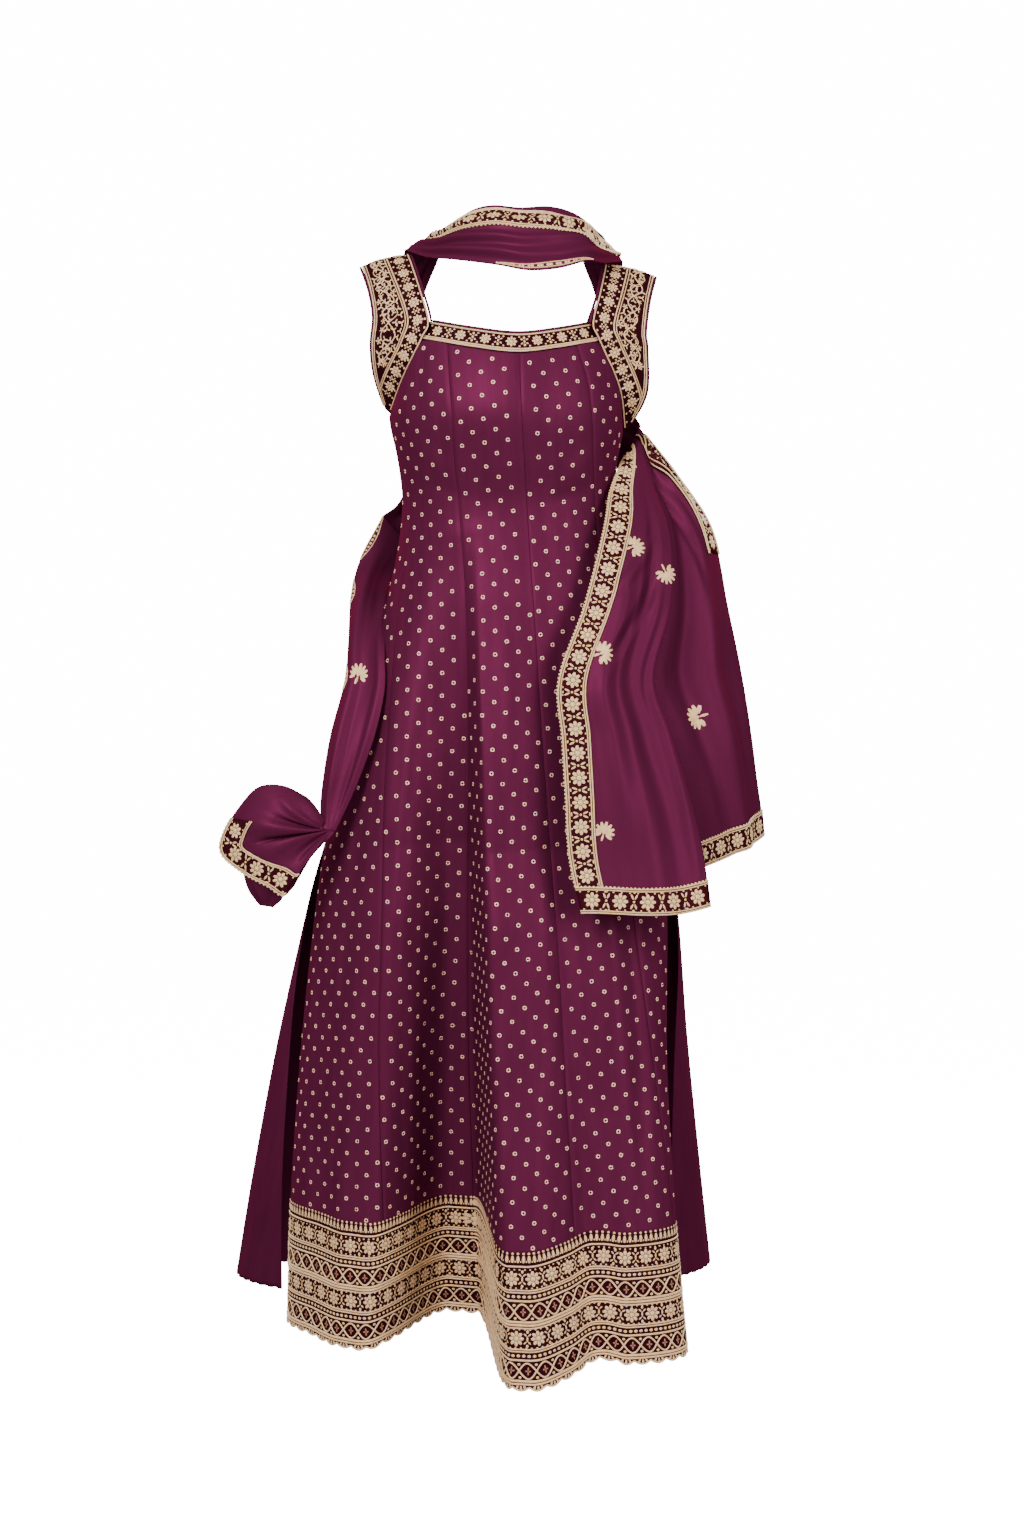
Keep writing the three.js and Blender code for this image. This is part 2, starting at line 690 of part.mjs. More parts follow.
// Each strap runs from the back of the underarm over the shoulder to the front of the
// underarm, and narrows to a point at both ends.
const LEFT_STRAP = [
  { leftX: -146, leftY: 4, leftZ: -178, rightX: -139.6, rightY: 12, rightZ: -184, puff: 0 },
  { leftX: -156, leftY: 32, leftZ: -112, rightX: -106, rightY: 65, rightZ: -108, puff: 2 },
  { leftX: -156, leftY: 38, leftZ: -80, rightX: -96, rightY: 66, rightZ: -84, puff: 3 },
  { leftX: -163, leftY: 30, leftZ: -42, rightX: -108, rightY: 46, rightZ: -34, puff: 3 },
  { leftX: -173, leftY: 0, leftZ: -10, rightX: -117, rightY: 0, rightZ: 4, puff: 3 },
  { leftX: -163, leftY: -28, leftZ: -38, rightX: -103, rightY: -50, rightZ: -36, puff: 3 },
  { leftX: -157, leftY: -42, leftZ: -72, rightX: -91, rightY: -75, rightZ: -80, puff: 3 },
  { leftX: -160, leftY: -40, leftZ: -106, rightX: -99, rightY: -75, rightZ: -100, puff: 3 },
  { leftX: -157, leftY: -26, leftZ: -140, rightX: -121, rightY: -52, rightZ: -142, puff: 2 },
  { leftX: -146, leftY: -4, leftZ: -178, rightX: -139.6, rightY: -12, rightZ: -184, puff: 0 },
];
const RIGHT_STRAP = [
  { leftX: 138.5, leftY: 10, leftZ: -206, rightX: 144, rightY: 4, rightZ: -200, puff: 0 },
  { leftX: 106, leftY: 62, leftZ: -110, rightX: 158, rightY: 32, rightZ: -120, puff: 2 },
  { leftX: 96, leftY: 66, leftZ: -84, rightX: 158, rightY: 38, rightZ: -88, puff: 3 },
  { leftX: 108, leftY: 46, leftZ: -42, rightX: 165, rightY: 30, rightZ: -52, puff: 3 },
  { leftX: 115, leftY: 0, leftZ: -8, rightX: 174, rightY: 0, rightZ: -21, puff: 3 },
  { leftX: 107, leftY: -48, leftZ: -44, rightX: 166, rightY: -28, rightZ: -52, puff: 3 },
  { leftX: 98, leftY: -70, leftZ: -82, rightX: 161, rightY: -42, rightZ: -90, puff: 3 },
  { leftX: 106, leftY: -70, leftZ: -102, rightX: 163, rightY: -40, rightZ: -110, puff: 3 },
  { leftX: 130, leftY: -44, leftZ: -155, rightX: 163, rightY: -28, rightZ: -160, puff: 2 },
  { leftX: 138.5, leftY: -10, leftZ: -206, rightX: 144, rightY: -4, rightZ: -200, puff: 0 },
];
const leftStrap = stripSurface(LEFT_STRAP);
const rightStrap = stripSurface(RIGHT_STRAP);
const STRAP_ROWS = 20;
const STRAP_INSET = 0.006; // keeps the neck side of a strap off the kalis and bands

const strapRows = evenSteps(STRAP_ROWS, PROBE, 1 - PROBE);
addPiece(
  'strap_left',
  clothWall(leftStrap, evenSteps(3, 0, 1 - STRAP_INSET), strapRows, BAND_WALL),
  goldEmbroidery(),
);
addPiece(
  'strap_right',
  clothWall(rightStrap, evenSteps(3, STRAP_INSET, 1), strapRows, BAND_WALL),
  goldEmbroidery(),
);

// ----------------------------------------------------------------------------- piping

const PIPING_SIDES = 5;
const PIPING_OFFSET = PIPING_RADIUS + SLANT_GAP;

// Points beside one edge of a surface, level with the middle of its wall.
function besideEdge(surface, across, outwardSign, steps) {
  return steps.map((along) => {
    const inside = surfaceNormal(surface, across, along);
    const edge = surface(across, along);
    const away = edge.clone().sub(surface(across - outwardSign * 0.2, along)).normalize();
    return edge.addScaledVector(away, PIPING_OFFSET).addScaledVector(inside, BAND_WALL / 2);
  });
}

const armholeSteps = evenSteps(34, 0.02, 0.98);
addPiece(
  'piping_armhole_left',
  cordAlong(besideEdge(leftStrap, 0, -1, armholeSteps), PIPING_RADIUS, PIPING_SIDES, true),
  plumSatin(),
);
addPiece(
  'piping_armhole_right',
  cordAlong(besideEdge(rightStrap, 1, 1, armholeSteps), PIPING_RADIUS, PIPING_SIDES, true),
  plumSatin(),
);

// The neck piping is one loop: the front band, a strap, the back band, a strap.
const LAST_STATION = LEFT_STRAP.length - 1;
const NECK_FRONT_STATION = 6 / LAST_STATION;
const NECK_BACK_STATION = 2 / LAST_STATION;
const CORNER_CUT = 0.02; // rounds the corners of the neck

function neckPipingRoute() {
  const onFront = (x) => {
    const level = neckTopZ(x) + PIPING_RADIUS;
    return frontPoint(x, level).add(new THREE.Vector3(0, BAND_WALL / 2, 0));
  };
  const onBack = (x) => {
    const level = BACK_NECK_TOP_Z + PIPING_RADIUS;
    return kurtiBack(backAngleAt(x, level), level).add(new THREE.Vector3(0, -BAND_WALL / 2, 0));
  };
  const up = evenSteps(9, NECK_FRONT_STATION - CORNER_CUT, NECK_BACK_STATION + CORNER_CUT);
  const down = evenSteps(9, NECK_BACK_STATION + CORNER_CUT, NECK_FRONT_STATION - CORNER_CUT);
  return [
    ...evenSteps(9, -80, 86).map(onFront),
    ...besideEdge(rightStrap, 0, -1, up),
    ...evenSteps(7, 84, -84).map(onBack),
    ...besideEdge(leftStrap, 1, 1, down),
  ];
}

addPiece(
  'piping_neck',
  cordAlong(neckPipingRoute(), PIPING_RADIUS, PIPING_SIDES, true),
  plumSatin(),
);

// ------------------------------------------------------------- dupatta, neck and back

// Over the front of the neck, with the stations running from the left shoulder to the
// right one, so that left is its lower edge and right its upper edge.
const NECK_LOOP = [
  { leftX: -123, leftY: 17.9, leftZ: 10, rightX: -72, rightY: 27.9, rightZ: 31, puff: 2 },
  { leftX: -120, leftY: -4, leftZ: 9, rightX: -80, rightY: -2, rightZ: 30, puff: 2 },
  { leftX: -96, leftY: -34, leftZ: -2, rightX: -70, rightY: -26, rightZ: 34, puff: 3 },
  { leftX: -62, leftY: -66, leftZ: -9, rightX: -42, rightY: -57, rightZ: 49, puff: 5 },
  { leftX: -13, leftY: -95, leftZ: -18, rightX: -17, rightY: -64, rightZ: 54, puff: 8 },
  { leftX: 24, leftY: -105, leftZ: -25, rightX: 14, rightY: -67, rightZ: 51, puff: 8 },
  { leftX: 60, leftY: -100, leftZ: -22, rightX: 48, rightY: -61, rightZ: 53, puff: 8 },
  { leftX: 92, leftY: -80, leftZ: -12, rightX: 76, rightY: -44, rightZ: 48, puff: 6 },
  { leftX: 113, leftY: -40, leftZ: -10, rightX: 96, rightY: -22, rightZ: 37, puff: 5 },
  { leftX: 135, leftY: 2, leftZ: -4, rightX: 102, rightY: 6, rightZ: 27, puff: 4 },
  { leftX: 137, leftY: 17.9, leftZ: -3, rightX: 84, rightY: 29.9, rightZ: 34, puff: 4 },
];
const NECK_LOOP_PLEATS = [
  { at: 0.2, half: 0.12, height: 4, begins: 0, ends: 1 },
  { at: 0.45, half: 0.12, height: 4, begins: 0, ends: 0.9 },
  { at: 0.7, half: 0.12, height: 4, begins: 0, ends: 1 },
];

// Down the back from each shoulder. Seen from behind, left is the side of +X.
const BACK_LEFT = [
  { leftX: -72, leftY: 28.5, leftZ: 31, rightX: -123, rightY: 18.5, rightZ: 10, puff: 2 },
  { leftX: -84, leftY: 64, leftZ: 6, rightX: -132, rightY: 56, rightZ: -10, puff: 3 },
  { leftX: -106, leftY: 94, leftZ: -56, rightX: -158, rightY: 76, rightZ: -66, puff: 4 },
  { leftX: -86, leftY: 112, leftZ: -126, rightX: -146, rightY: 90, rightZ: -134, puff: 6 },
  { leftX: -58, leftY: 118, leftZ: -210, rightX: -121, rightY: 98, rightZ: -204, puff: 6 },
  { leftX: -70, leftY: 114, leftZ: -284, rightX: -122, rightY: 86, rightZ: -258, puff: 6 },
  { leftX: -92, leftY: 106, leftZ: -328, rightX: -134, rightY: 75, rightZ: -288, puff: 6 },
  { leftX: -116, leftY: 96, leftZ: -354, rightX: -152, rightY: 62, rightZ: -303, puff: 5 },
];
const BACK_RIGHT = [
  { leftX: 137, leftY: 18.6, leftZ: -3, rightX: 84, rightY: 30.6, rightZ: 34, puff: 4 },
  { leftX: 140, leftY: 58, leftZ: -22, rightX: 90, rightY: 64, rightZ: 6, puff: 3 },
  { leftX: 160, leftY: 78, leftZ: -72, rightX: 110, rightY: 95, rightZ: -56, puff: 4 },
  { leftX: 157, leftY: 88, leftZ: -134, rightX: 92, rightY: 113, rightZ: -128, puff: 6 },
  { leftX: 154, leftY: 78, leftZ: -176, rightX: 80, rightY: 116, rightZ: -205, puff: 7 },
  { leftX: 161, leftY: 58, leftZ: -194, rightX: 112, rightY: 100, rightZ: -256, puff: 6 },
  { leftX: 158, leftY: 44, leftZ: -196, rightX: 141, rightY: 38, rightZ: -240, puff: 3 },
];
const BACK_PLEATS = [
  { at: 0.22, half: 0.14, height: 5, begins: 0, ends: 1 },
  { at: 0.5, half: 0.14, height: 5, begins: 0, ends: 1 },
  { at: 0.78, half: 0.14, height: 5, begins: 0, ends: 1 },
];

function addDrape(name, surface, columns, rows) {
  addPiece(name, clothWall(surface, columns, rows, DUPATTA_WALL), plumSatin());
}

// Lace lies on the cloth, along columns and rows of the same surface moved out.
const LACE_WALL = 1;

function addLace(name, surface, columns, rows) {
  const lifted = raised(surface, () => SEAM_GAP + LACE_WALL);
  addPiece(name, clothWall(lifted, columns, rows, LACE_WALL), goldEmbroidery());
}

// Maps 0 to 1 onto 0 to 1 in two stretches, so that `knot` lands on `share`.
function bentAt(knot, share, value) {
  return value < knot
    ? (value / knot) * share
    : share + ((value - knot) / (1 - knot)) * (1 - share);
}

// The share of a strip's width that the lace takes up at one station.
function laceShare(surface, along) {
  const width = surface(0, along).distanceTo(surface(1, along));
  return Math.min(LACE_WIDTH / width, 0.8);
}

// The share of a strip's length that the lace takes up at its lower end.
const END_STRETCH = 0.1;

function laceRun(surface, across) {
  const length = surface(across, 1).distanceTo(surface(across, 1 - END_STRETCH));
  return (LACE_WIDTH / length) * END_STRETCH;
}

// On the neck loop the lace follows the upper edge, and crosses to the middle where
// the cloth turns over on the right shoulder.
const NECK_LACE = [
  { along: 0, from: 0.4, to: 0.9 },
  { along: 0.12, from: 0.5, to: 0.9 },
  { along: 0.25, from: 0.58, to: 0.92 },
  { along: 0.5, from: 0.62, to: 0.92 },
  { along: 0.65, from: 0.5, to: 0.82 },
  { along: 0.8, from: 0.26, to: 0.62 },
  { along: 0.92, from: 0.14, to: 0.46 },
  { along: 1, from: 0.1, to: 0.4 },
];
const neckLace = tableCurves(NECK_LACE, 'along');
const LACE_FROM_KNOT = 0.5;
const LACE_TO_KNOT = 0.8;

// The neck loop with its columns bent so that two of them follow the lace.
function neckLoopSurface() {
  const loop = pleated(stripSurface(NECK_LOOP), NECK_LOOP_PLEATS);
  return (u, v) => {
    const from = neckLace.from(v);
    const to = neckLace.to(v);
    if (u < LACE_FROM_KNOT) return loop((u / LACE_FROM_KNOT) * from, v);
    const part = (u - LACE_FROM_KNOT) / (1 - LACE_FROM_KNOT);
    const knot = (LACE_TO_KNOT - LACE_FROM_KNOT) / (1 - LACE_FROM_KNOT);
    return loop(lerp(from, 1, bentAt(knot, (to - from) / (1 - from), part)), v);
  };
}

const neckLoop = neckLoopSurface();
const dupattaBackLeft = pleated(stripSurface(BACK_LEFT), BACK_PLEATS);
const dupattaBackRight = pleated(stripSurface(BACK_RIGHT), BACK_PLEATS);
const loopRows = evenSteps(22);
addDrape('dupatta_neck_loop', neckLoop, evenSteps(10), loopRows);
addLace('lace_neck_loop', neckLoop, [0.5, 0.6, 0.7, 0.8], loopRows.slice(3, 21));
addDrape('dupatta_back_left', dupattaBackLeft, evenSteps(6), evenSteps(12));
addDrape('dupatta_back_right', dupattaBackRight, evenSteps(6), evenSteps(12));

// -------------------------------------------------------------- dupatta, left side

// From the back of the waist forward between arm and body, down to a hand.
const TAIL_LEFT = [
  { leftX: -152.2, leftY: 61.6, leftZ: -303.4, rightX: -116.4, rightY: 95.6, rightZ: -354.4, puff: 5 },
  { leftX: -177, leftY: 46, leftZ: -350, rightX: -146, rightY: 56, rightZ: -388, puff: 8 },
  { leftX: -189, leftY: 22, leftZ: -396, rightX: -156, rightY: 8, rightZ: -424, puff: 8 },
  { leftX: -191, leftY: -14, leftZ: -457, rightX: -148, rightY: -52, rightZ: -458, puff: 8 },
  { leftX: -194, leftY: -37, leftZ: -500, rightX: -144, rightY: -74, rightZ: -505, puff: 8 },
  { leftX: -209, leftY: -60, leftZ: -560, rightX: -154, rightY: -86, rightZ: -556, puff: 8 },
  { leftX: -217, leftY: -76, leftZ: -610, rightX: -169, rightY: -90, rightZ: -600, puff: 7 },
  { leftX: -220, leftY: -86, leftZ: -646, rightX: -184, rightY: -93, rightZ: -636, puff: 5 },
  { leftX: -216, leftY: -100.6, leftZ: -671, rightX: -202, rightY: -98.6, rightZ: -673, puff: 1 },
];
const TAIL_PLEATS = [
  { at: 0.3, half: 0.2, height: 6, begins: 0, ends: 1.0 },
  { at: 0.7, half: 0.2, height: -4, begins: 0, ends: 1.0 },
];

// The end beyond the hand, gathered on the right and spread out like a fan, from its
// top round the left to its bottom.
const END_LEFT = [
  { leftX: -236, leftY: -92, leftZ: -632, rightX: -214, rightY: -98, rightZ: -660, puff: 4 },
  { leftX: -262, leftY: -97, leftZ: -619, rightX: -216, rightY: -100, rightZ: -666, puff: 10 },
  { leftX: -292, leftY: -92, leftZ: -621, rightX: -217, rightY: -102, rightZ: -669, puff: 16 },
  { leftX: -316, leftY: -87, leftZ: -646, rightX: -215, rightY: -102.6, rightZ: -669.5, puff: 20 },
  { leftX: -334, leftY: -86, leftZ: -676, rightX: -213, rightY: -102.6, rightZ: -670, puff: 20 },
  { leftX: -337, leftY: -86, leftZ: -700, rightX: -211, rightY: -102.6, rightZ: -670.5, puff: 18 },
  { leftX: -312, leftY: -96, leftZ: -721, rightX: -209, rightY: -102.4, rightZ: -671, puff: 14 },
  { leftX: -280, leftY: -106, leftZ: -737, rightX: -207, rightY: -102, rightZ: -671.5, puff: 10 },
  { leftX: -260, leftY: -111, leftZ: -747, rightX: -205, rightY: -101.8, rightZ: -672, puff: 8 },
  { leftX: -242, leftY: -110, leftZ: -722, rightX: -202, rightY: -101.4, rightZ: -672.5, puff: 5 },
];
const END_LEFT_UNDER = [
  { leftX: -311, leftY: -94, leftZ: -721.5, rightX: -266, rightY: -107, rightZ: -743, puff: 2 },
  { leftX: -305, leftY: -86, leftZ: -744, rightX: -264, rightY: -100, rightZ: -752, puff: 2 },
  { leftX: -293, leftY: -82, leftZ: -762, rightX: -276, rightY: -88, rightZ: -764, puff: 0 },
];

const tailLeft = pleated(stripSurface(TAIL_LEFT), TAIL_PLEATS);
const endFan = stripSurface(END_LEFT);
const RIM_KNOT = 0.25;
const endLeft = (u, v) => endFan(bentAt(RIM_KNOT, laceShare(endFan, v), u), v);
const endRows = evenSteps(18);
addDrape('dupatta_tail_left', tailLeft, evenSteps(6), evenSteps(18));
addDrape('dupatta_end_left', endLeft, evenSteps(8), endRows);
addLace('lace_end_left', endLeft, evenSteps(2, 0, RIM_KNOT), endRows.slice(6, 17));
addDrape('dupatta_end_left_under', stripSurface(END_LEFT_UNDER), evenSteps(3), evenSteps(4));

// -------------------------------------------------------------- dupatta, right side

// The front layer falls from under the arm across the skirt; left is its laced edge.
const FALL_FRONT = [
  { leftX: 141, leftY: 37.6, leftZ: -239.6, rightX: 149.8, rightY: 40.4, rightZ: -217, puff: 1 },
  { leftX: 135, leftY: -16, leftZ: -242, rightX: 157, rightY: 11, rightZ: -218, puff: 2 },
  { leftX: 126, leftY: -53, leftZ: -276, rightX: 172, rightY: -18, rightZ: -265, puff: 4 },
  { leftX: 115, leftY: -86, leftZ: -323, rightX: 190, rightY: -58, rightZ: -327, puff: 8 },
  { leftX: 88, leftY: -125, leftZ: -409, rightX: 190, rightY: -90, rightZ: -409, puff: 10 },
  { leftX: 58, leftY: -152, leftZ: -493, rightX: 170, rightY: -114, rightZ: -493, puff: 12 },
  { leftX: 62, leftY: -160, leftZ: -559, rightX: 190, rightY: -122, rightZ: -559, puff: 12 },
  { leftX: 66, leftY: -167, leftZ: -625, rightX: 210, rightY: -130, rightZ: -625, puff: 12 },
  { leftX: 70, leftY: -172, leftZ: -693, rightX: 226, rightY: -138, rightZ: -693, puff: 12 },
  { leftX: 84, leftY: -180, leftZ: -759, rightX: 234, rightY: -150, rightZ: -755, puff: 12 },
];
// The back layer hangs beyond the forearm; left is its hidden edge behind the front.
const FALL_BACK = [
  { leftX: 150.3, leftY: 40.7, leftZ: -216, rightX: 158.6, rightY: 42.6, rightZ: -196.9, puff: 0 },
  { leftX: 155.2, leftY: 22.4, leftZ: -216.6, rightX: 178, rightY: 40, rightZ: -222, puff: 3 },
  { leftX: 164, leftY: -8, leftZ: -266, rightX: 205, rightY: 38, rightZ: -256, puff: 6 },
  { leftX: 178, leftY: -42, leftZ: -327, rightX: 246, rightY: 28, rightZ: -321, puff: 10 },
  { leftX: 176, leftY: -66, leftZ: -409, rightX: 266, rightY: 22, rightZ: -414, puff: 12 },
  { leftX: 156, leftY: -80, leftZ: -493, rightX: 282, rightY: 20, rightZ: -490, puff: 14 },
  { leftX: 180, leftY: -86, leftZ: -559, rightX: 294, rightY: 21, rightZ: -560, puff: 14 },
  { leftX: 194, leftY: -86, leftZ: -615, rightX: 303, rightY: 28, rightZ: -622, puff: 14 },
  { leftX: 208, leftY: -80, leftZ: -672, rightX: 309, rightY: 30, rightZ: -662, puff: 12 },
  { leftX: 222, leftY: -70, leftZ: -722, rightX: 312, rightY: 32, rightZ: -692, puff: 10 },
];
const FALL_FRONT_PLEATS = [
  { at: 0.42, half: 0.16, height: 8, begins: 0.3, ends: 0.95 },
  { at: 0.72, half: 0.14, height: -8, begins: 0.2, ends: 0.9 },
  { at: 0.6, half: 0.2, height: 6, begins: 0.6, ends: 1.4 },
];
const FALL_BACK_PLEATS = [
  { at: 0.35, half: 0.18, height: -9, begins: 0.05, ends: 0.85 },
  { at: 0.62, half: 0.16, height: 7, begins: 0.3, ends: 1.3 },
];

// A fall with columns bent to follow its side lace, and rows bent to follow its hem
// lace. The side lace lies on the left, or on the right if sideIsRight.
const SIDE_KNOT = 0.25;
const HEM_KNOT = 0.95;

function lacedFall(strip, sideIsRight) {
  return (u, v) => {
    const along = bentAt(HEM_KNOT, 1 - laceRun(strip, clamp(u, 0, 1)), v);
    const share = laceShare(strip, along);
    const across = sideIsRight
      ? 1 - bentAt(SIDE_KNOT, share, 1 - u)
      : bentAt(SIDE_KNOT, share, u);
    return strip(across, along);
  };
}

const fallFront = lacedFall(pleated(stripSurface(FALL_FRONT), FALL_FRONT_PLEATS), false);
const fallBack = lacedFall(pleated(stripSurface(FALL_BACK), FALL_BACK_PLEATS), true);
const fallRows = [...evenSteps(18, 0, HEM_KNOT), 1];
const fallColumns = evenSteps(8);
addDrape('dupatta_fall_front', fallFront, fallColumns, fallRows);
addDrape('dupatta_fall_back', fallBack, fallColumns, fallRows);
addLace('lace_fall_front_side', fallFront, fallColumns.slice(0, 3), fallRows.slice(2, 19));
addLace('lace_fall_front_hem', fallFront, fallColumns, fallRows.slice(18));
addLace('lace_fall_back_hem', fallBack, fallColumns, fallRows.slice(18));
addLace('lace_fall_back_side', fallBack, fallColumns.slice(6), fallRows.slice(1, 8));

export default kurtiSet;
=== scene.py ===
"""A kurti set as it is worn: a sleeveless plum satin kurti cut in flared kalis, with
gold embroidery, and its plain dupatta edged with flower lace."""
import math

import bmesh
import bpy
import numpy as np
from mathutils import Matrix, Vector


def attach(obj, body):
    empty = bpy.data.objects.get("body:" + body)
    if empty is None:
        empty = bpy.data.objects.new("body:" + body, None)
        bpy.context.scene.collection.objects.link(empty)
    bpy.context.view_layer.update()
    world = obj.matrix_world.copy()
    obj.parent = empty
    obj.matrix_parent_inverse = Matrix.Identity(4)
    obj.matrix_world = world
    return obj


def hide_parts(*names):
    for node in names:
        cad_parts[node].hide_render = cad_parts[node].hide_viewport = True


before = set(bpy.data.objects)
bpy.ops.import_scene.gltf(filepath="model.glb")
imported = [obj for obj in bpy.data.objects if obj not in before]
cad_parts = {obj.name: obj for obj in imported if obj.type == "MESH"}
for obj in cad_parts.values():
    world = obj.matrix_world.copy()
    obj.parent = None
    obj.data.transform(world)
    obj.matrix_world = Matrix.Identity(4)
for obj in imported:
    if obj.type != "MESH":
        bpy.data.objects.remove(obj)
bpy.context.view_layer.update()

# ------------------------------------------------------------------------- studio
# A white studio: the camera stands level with the hips, a large softbox hangs in
# front on the left, a weaker one on the right, and white paper lies under and behind.

MM = 0.001  # every size below is in millimetres

camera = bpy.data.objects.new("camera", bpy.data.cameras.new("camera"))
camera.data.lens = 62.5
camera.data.sensor_width = 36
camera.location = (0.005, -3.2, -0.3412)
camera.rotation_euler = (math.radians(85.26), 0, 0)
bpy.context.collection.objects.link(camera)
bpy.context.scene.camera = camera


def softbox(name, location, aim, width, height, watts):
    """A rectangular area light at one place, turned to face another."""
    lamp = bpy.data.objects.new(name, bpy.data.lights.new(name, "AREA"))
    lamp.data.shape = "RECTANGLE"
    lamp.data.size = width
    lamp.data.size_y = height
    lamp.data.energy = watts
    lamp.location = location
    away = lamp.location - Vector(aim)
    lamp.rotation_euler = away.to_track_quat("Z", "Y").to_euler()
    bpy.context.collection.objects.link(lamp)


softbox("key_light", (-1.2, -2.9, 1.2), (0, 0, -0.5), 1.0, 1.8, 162)
softbox("fill_light", (2.2, -2.5, 0.3), (0, 0, -0.6), 1.2, 2.4, 78)
softbox("back_light_left", (-2.0, 2.2, 0.8), (0, 0, -0.6), 1.2, 2.0, 60)
softbox("back_light_right", (2.0, 2.2, 0.8), (0, 0, -0.6), 1.2, 2.0, 60)


def linear(hex_colour):
    """An sRGB hex value such as "c9ab86" as the linear colour that shaders take."""
    parts = [int(hex_colour[i:i + 2], 16) / 255 for i in (0, 2, 4)]
    return [c / 12.92 if c <= 0.04045 else ((c + 0.055) / 1.055) ** 2.4 for c in parts] + [1]


def add_node(tree, kind, inputs=(), **settings):
    """Adds one node. inputs maps socket names or numbers to values or other nodes'
    outputs, and settings are the node's own properties."""
    node = tree.nodes.new(kind)
    for name, value in settings.items():
        setattr(node, name, value)
    for socket, value in dict(inputs).items():
        if isinstance(value, bpy.types.NodeSocket):
            tree.links.new(value, node.inputs[socket])
        else:
            node.inputs[socket].default_value = value
    return node


def new_material(name):
    material = bpy.data.materials.new(name)
    material.use_nodes = True
    material.node_tree.nodes.clear()
    return material, material.node_tree


def new_mesh(name, bm):
    """The mesh of a bmesh, which is freed."""
    mesh = bpy.data.meshes.new(name)
    bm.to_mesh(mesh)
    bm.free()
    return mesh


world = bpy.data.worlds.new("studio")
world.use_nodes = True
world.node_tree.nodes["Background"].inputs["Color"].default_value = linear("f4f4f6")
world.node_tree.nodes["Background"].inputs["Strength"].default_value = 0.62
bpy.context.scene.world = world

FLOOR_Z = -1.70
paper, tree = new_material("lit white backdrop paper")
shader = add_node(tree, "ShaderNodeBsdfPrincipled", {
    "Base Color": linear("f2f2f3"), "Roughness": 0.9, "Specular IOR Level": 0.1,
    "Emission Color": linear("f7f7f8"), "Emission Strength": 16.0})
add_node(tree, "ShaderNodeOutputMaterial", {"Surface": shader.outputs[0]})
bm = bmesh.new()
bmesh.ops.create_grid(bm, x_segments=1, y_segments=1, size=10)
bmesh.ops.translate(bm, vec=(0, 0, FLOOR_Z), verts=bm.verts)
floor_mesh = new_mesh("floor", bm)
bm = bmesh.new()
bmesh.ops.create_icosphere(bm, subdivisions=4, radius=11)
bmesh.ops.reverse_faces(bm, faces=bm.faces)
for mesh in (floor_mesh, new_mesh("backdrop", bm)):
    mesh.materials.append(paper)
    mesh.shade_smooth()
    paper_piece = bpy.data.objects.new(mesh.name, mesh)
    paper_piece.visible_diffuse = False
    paper_piece.visible_glossy = False
    paper_piece.visible_shadow = False
    bpy.context.collection.objects.link(paper_piece)

# ------------------------------------------------------------ kurti, front kalis
# Six flared kalis of plum satin, lined with cotton and sewn edge to edge, make the
# front. The skirt falls in deep soft folds that grow from the waist to the hem.

HEM_Z = -1284
HEM_BAND_HEIGHT = 147
NECK_BAND_HEIGHT = 22
SLIT_TOP_Z = -690
SEAM_GAP = 0.3
SLANT_GAP = 0.5
KURTI_WALL = 1.4


def table(columns, rows):
    """A table as a dictionary of arrays, one for each named column."""
    return dict(zip(columns.split(), np.array(rows, float).T))


def curve(rows, by, name):
    """A smooth curve through one column of a table, straight past its ends."""
    knots, values = rows[by], rows[name]
    if knots[0] > knots[-1]:
        knots, values = knots[::-1], values[::-1]
    last = len(knots) - 1
    before = np.maximum(np.arange(last + 1) - 1, 0)
    after = np.minimum(np.arange(last + 1) + 1, last)
    slopes = (values[after] - values[before]) / (knots[after] - knots[before])

    def at(place):
        place = np.asarray(place, float)
        i = np.clip(np.searchsorted(knots, place, side="right") - 1, 0, last - 1)
        span = knots[i + 1] - knots[i]
        reached = (place - knots[i]) / span
        part = np.clip(reached, 0, 1)
        beyond = (reached - part) * span * np.where(reached < 0, slopes[i], slopes[i + 1])
        return (values[i] * (2 * part**3 - 3 * part**2 + 1)
                + values[i + 1] * (3 * part**2 - 2 * part**3)
                + span * slopes[i] * (part**3 - 2 * part**2 + part)
                + span * slopes[i + 1] * (part**3 - part**2) + beyond)

    return at


def curves(rows, by):
    return {name: curve(rows, by, name) for name in rows if name != by}


def smooth_step(start, end, value):
    part = np.clip((value - start) / (end - start), 0, 1)
    return part * part * (3 - 2 * part)


def blend(start, end, part):
    return start + (end - start) * part


def lengths(vectors):
    return np.linalg.norm(vectors, axis=-1)


def unit(vectors):
    return vectors / np.linalg.norm(vectors, axis=-1, keepdims=True)


def places(u, v):
    """Two sets of places on a surface as arrays of one shape."""
    return np.broadcast_arrays(np.asarray(u, float), np.asarray(v, float))


def run_along(points):
    """How far each point of a line is from its first, measured along it."""
    return np.concatenate([[0], np.cumsum(lengths(np.diff(points, axis=0)))])


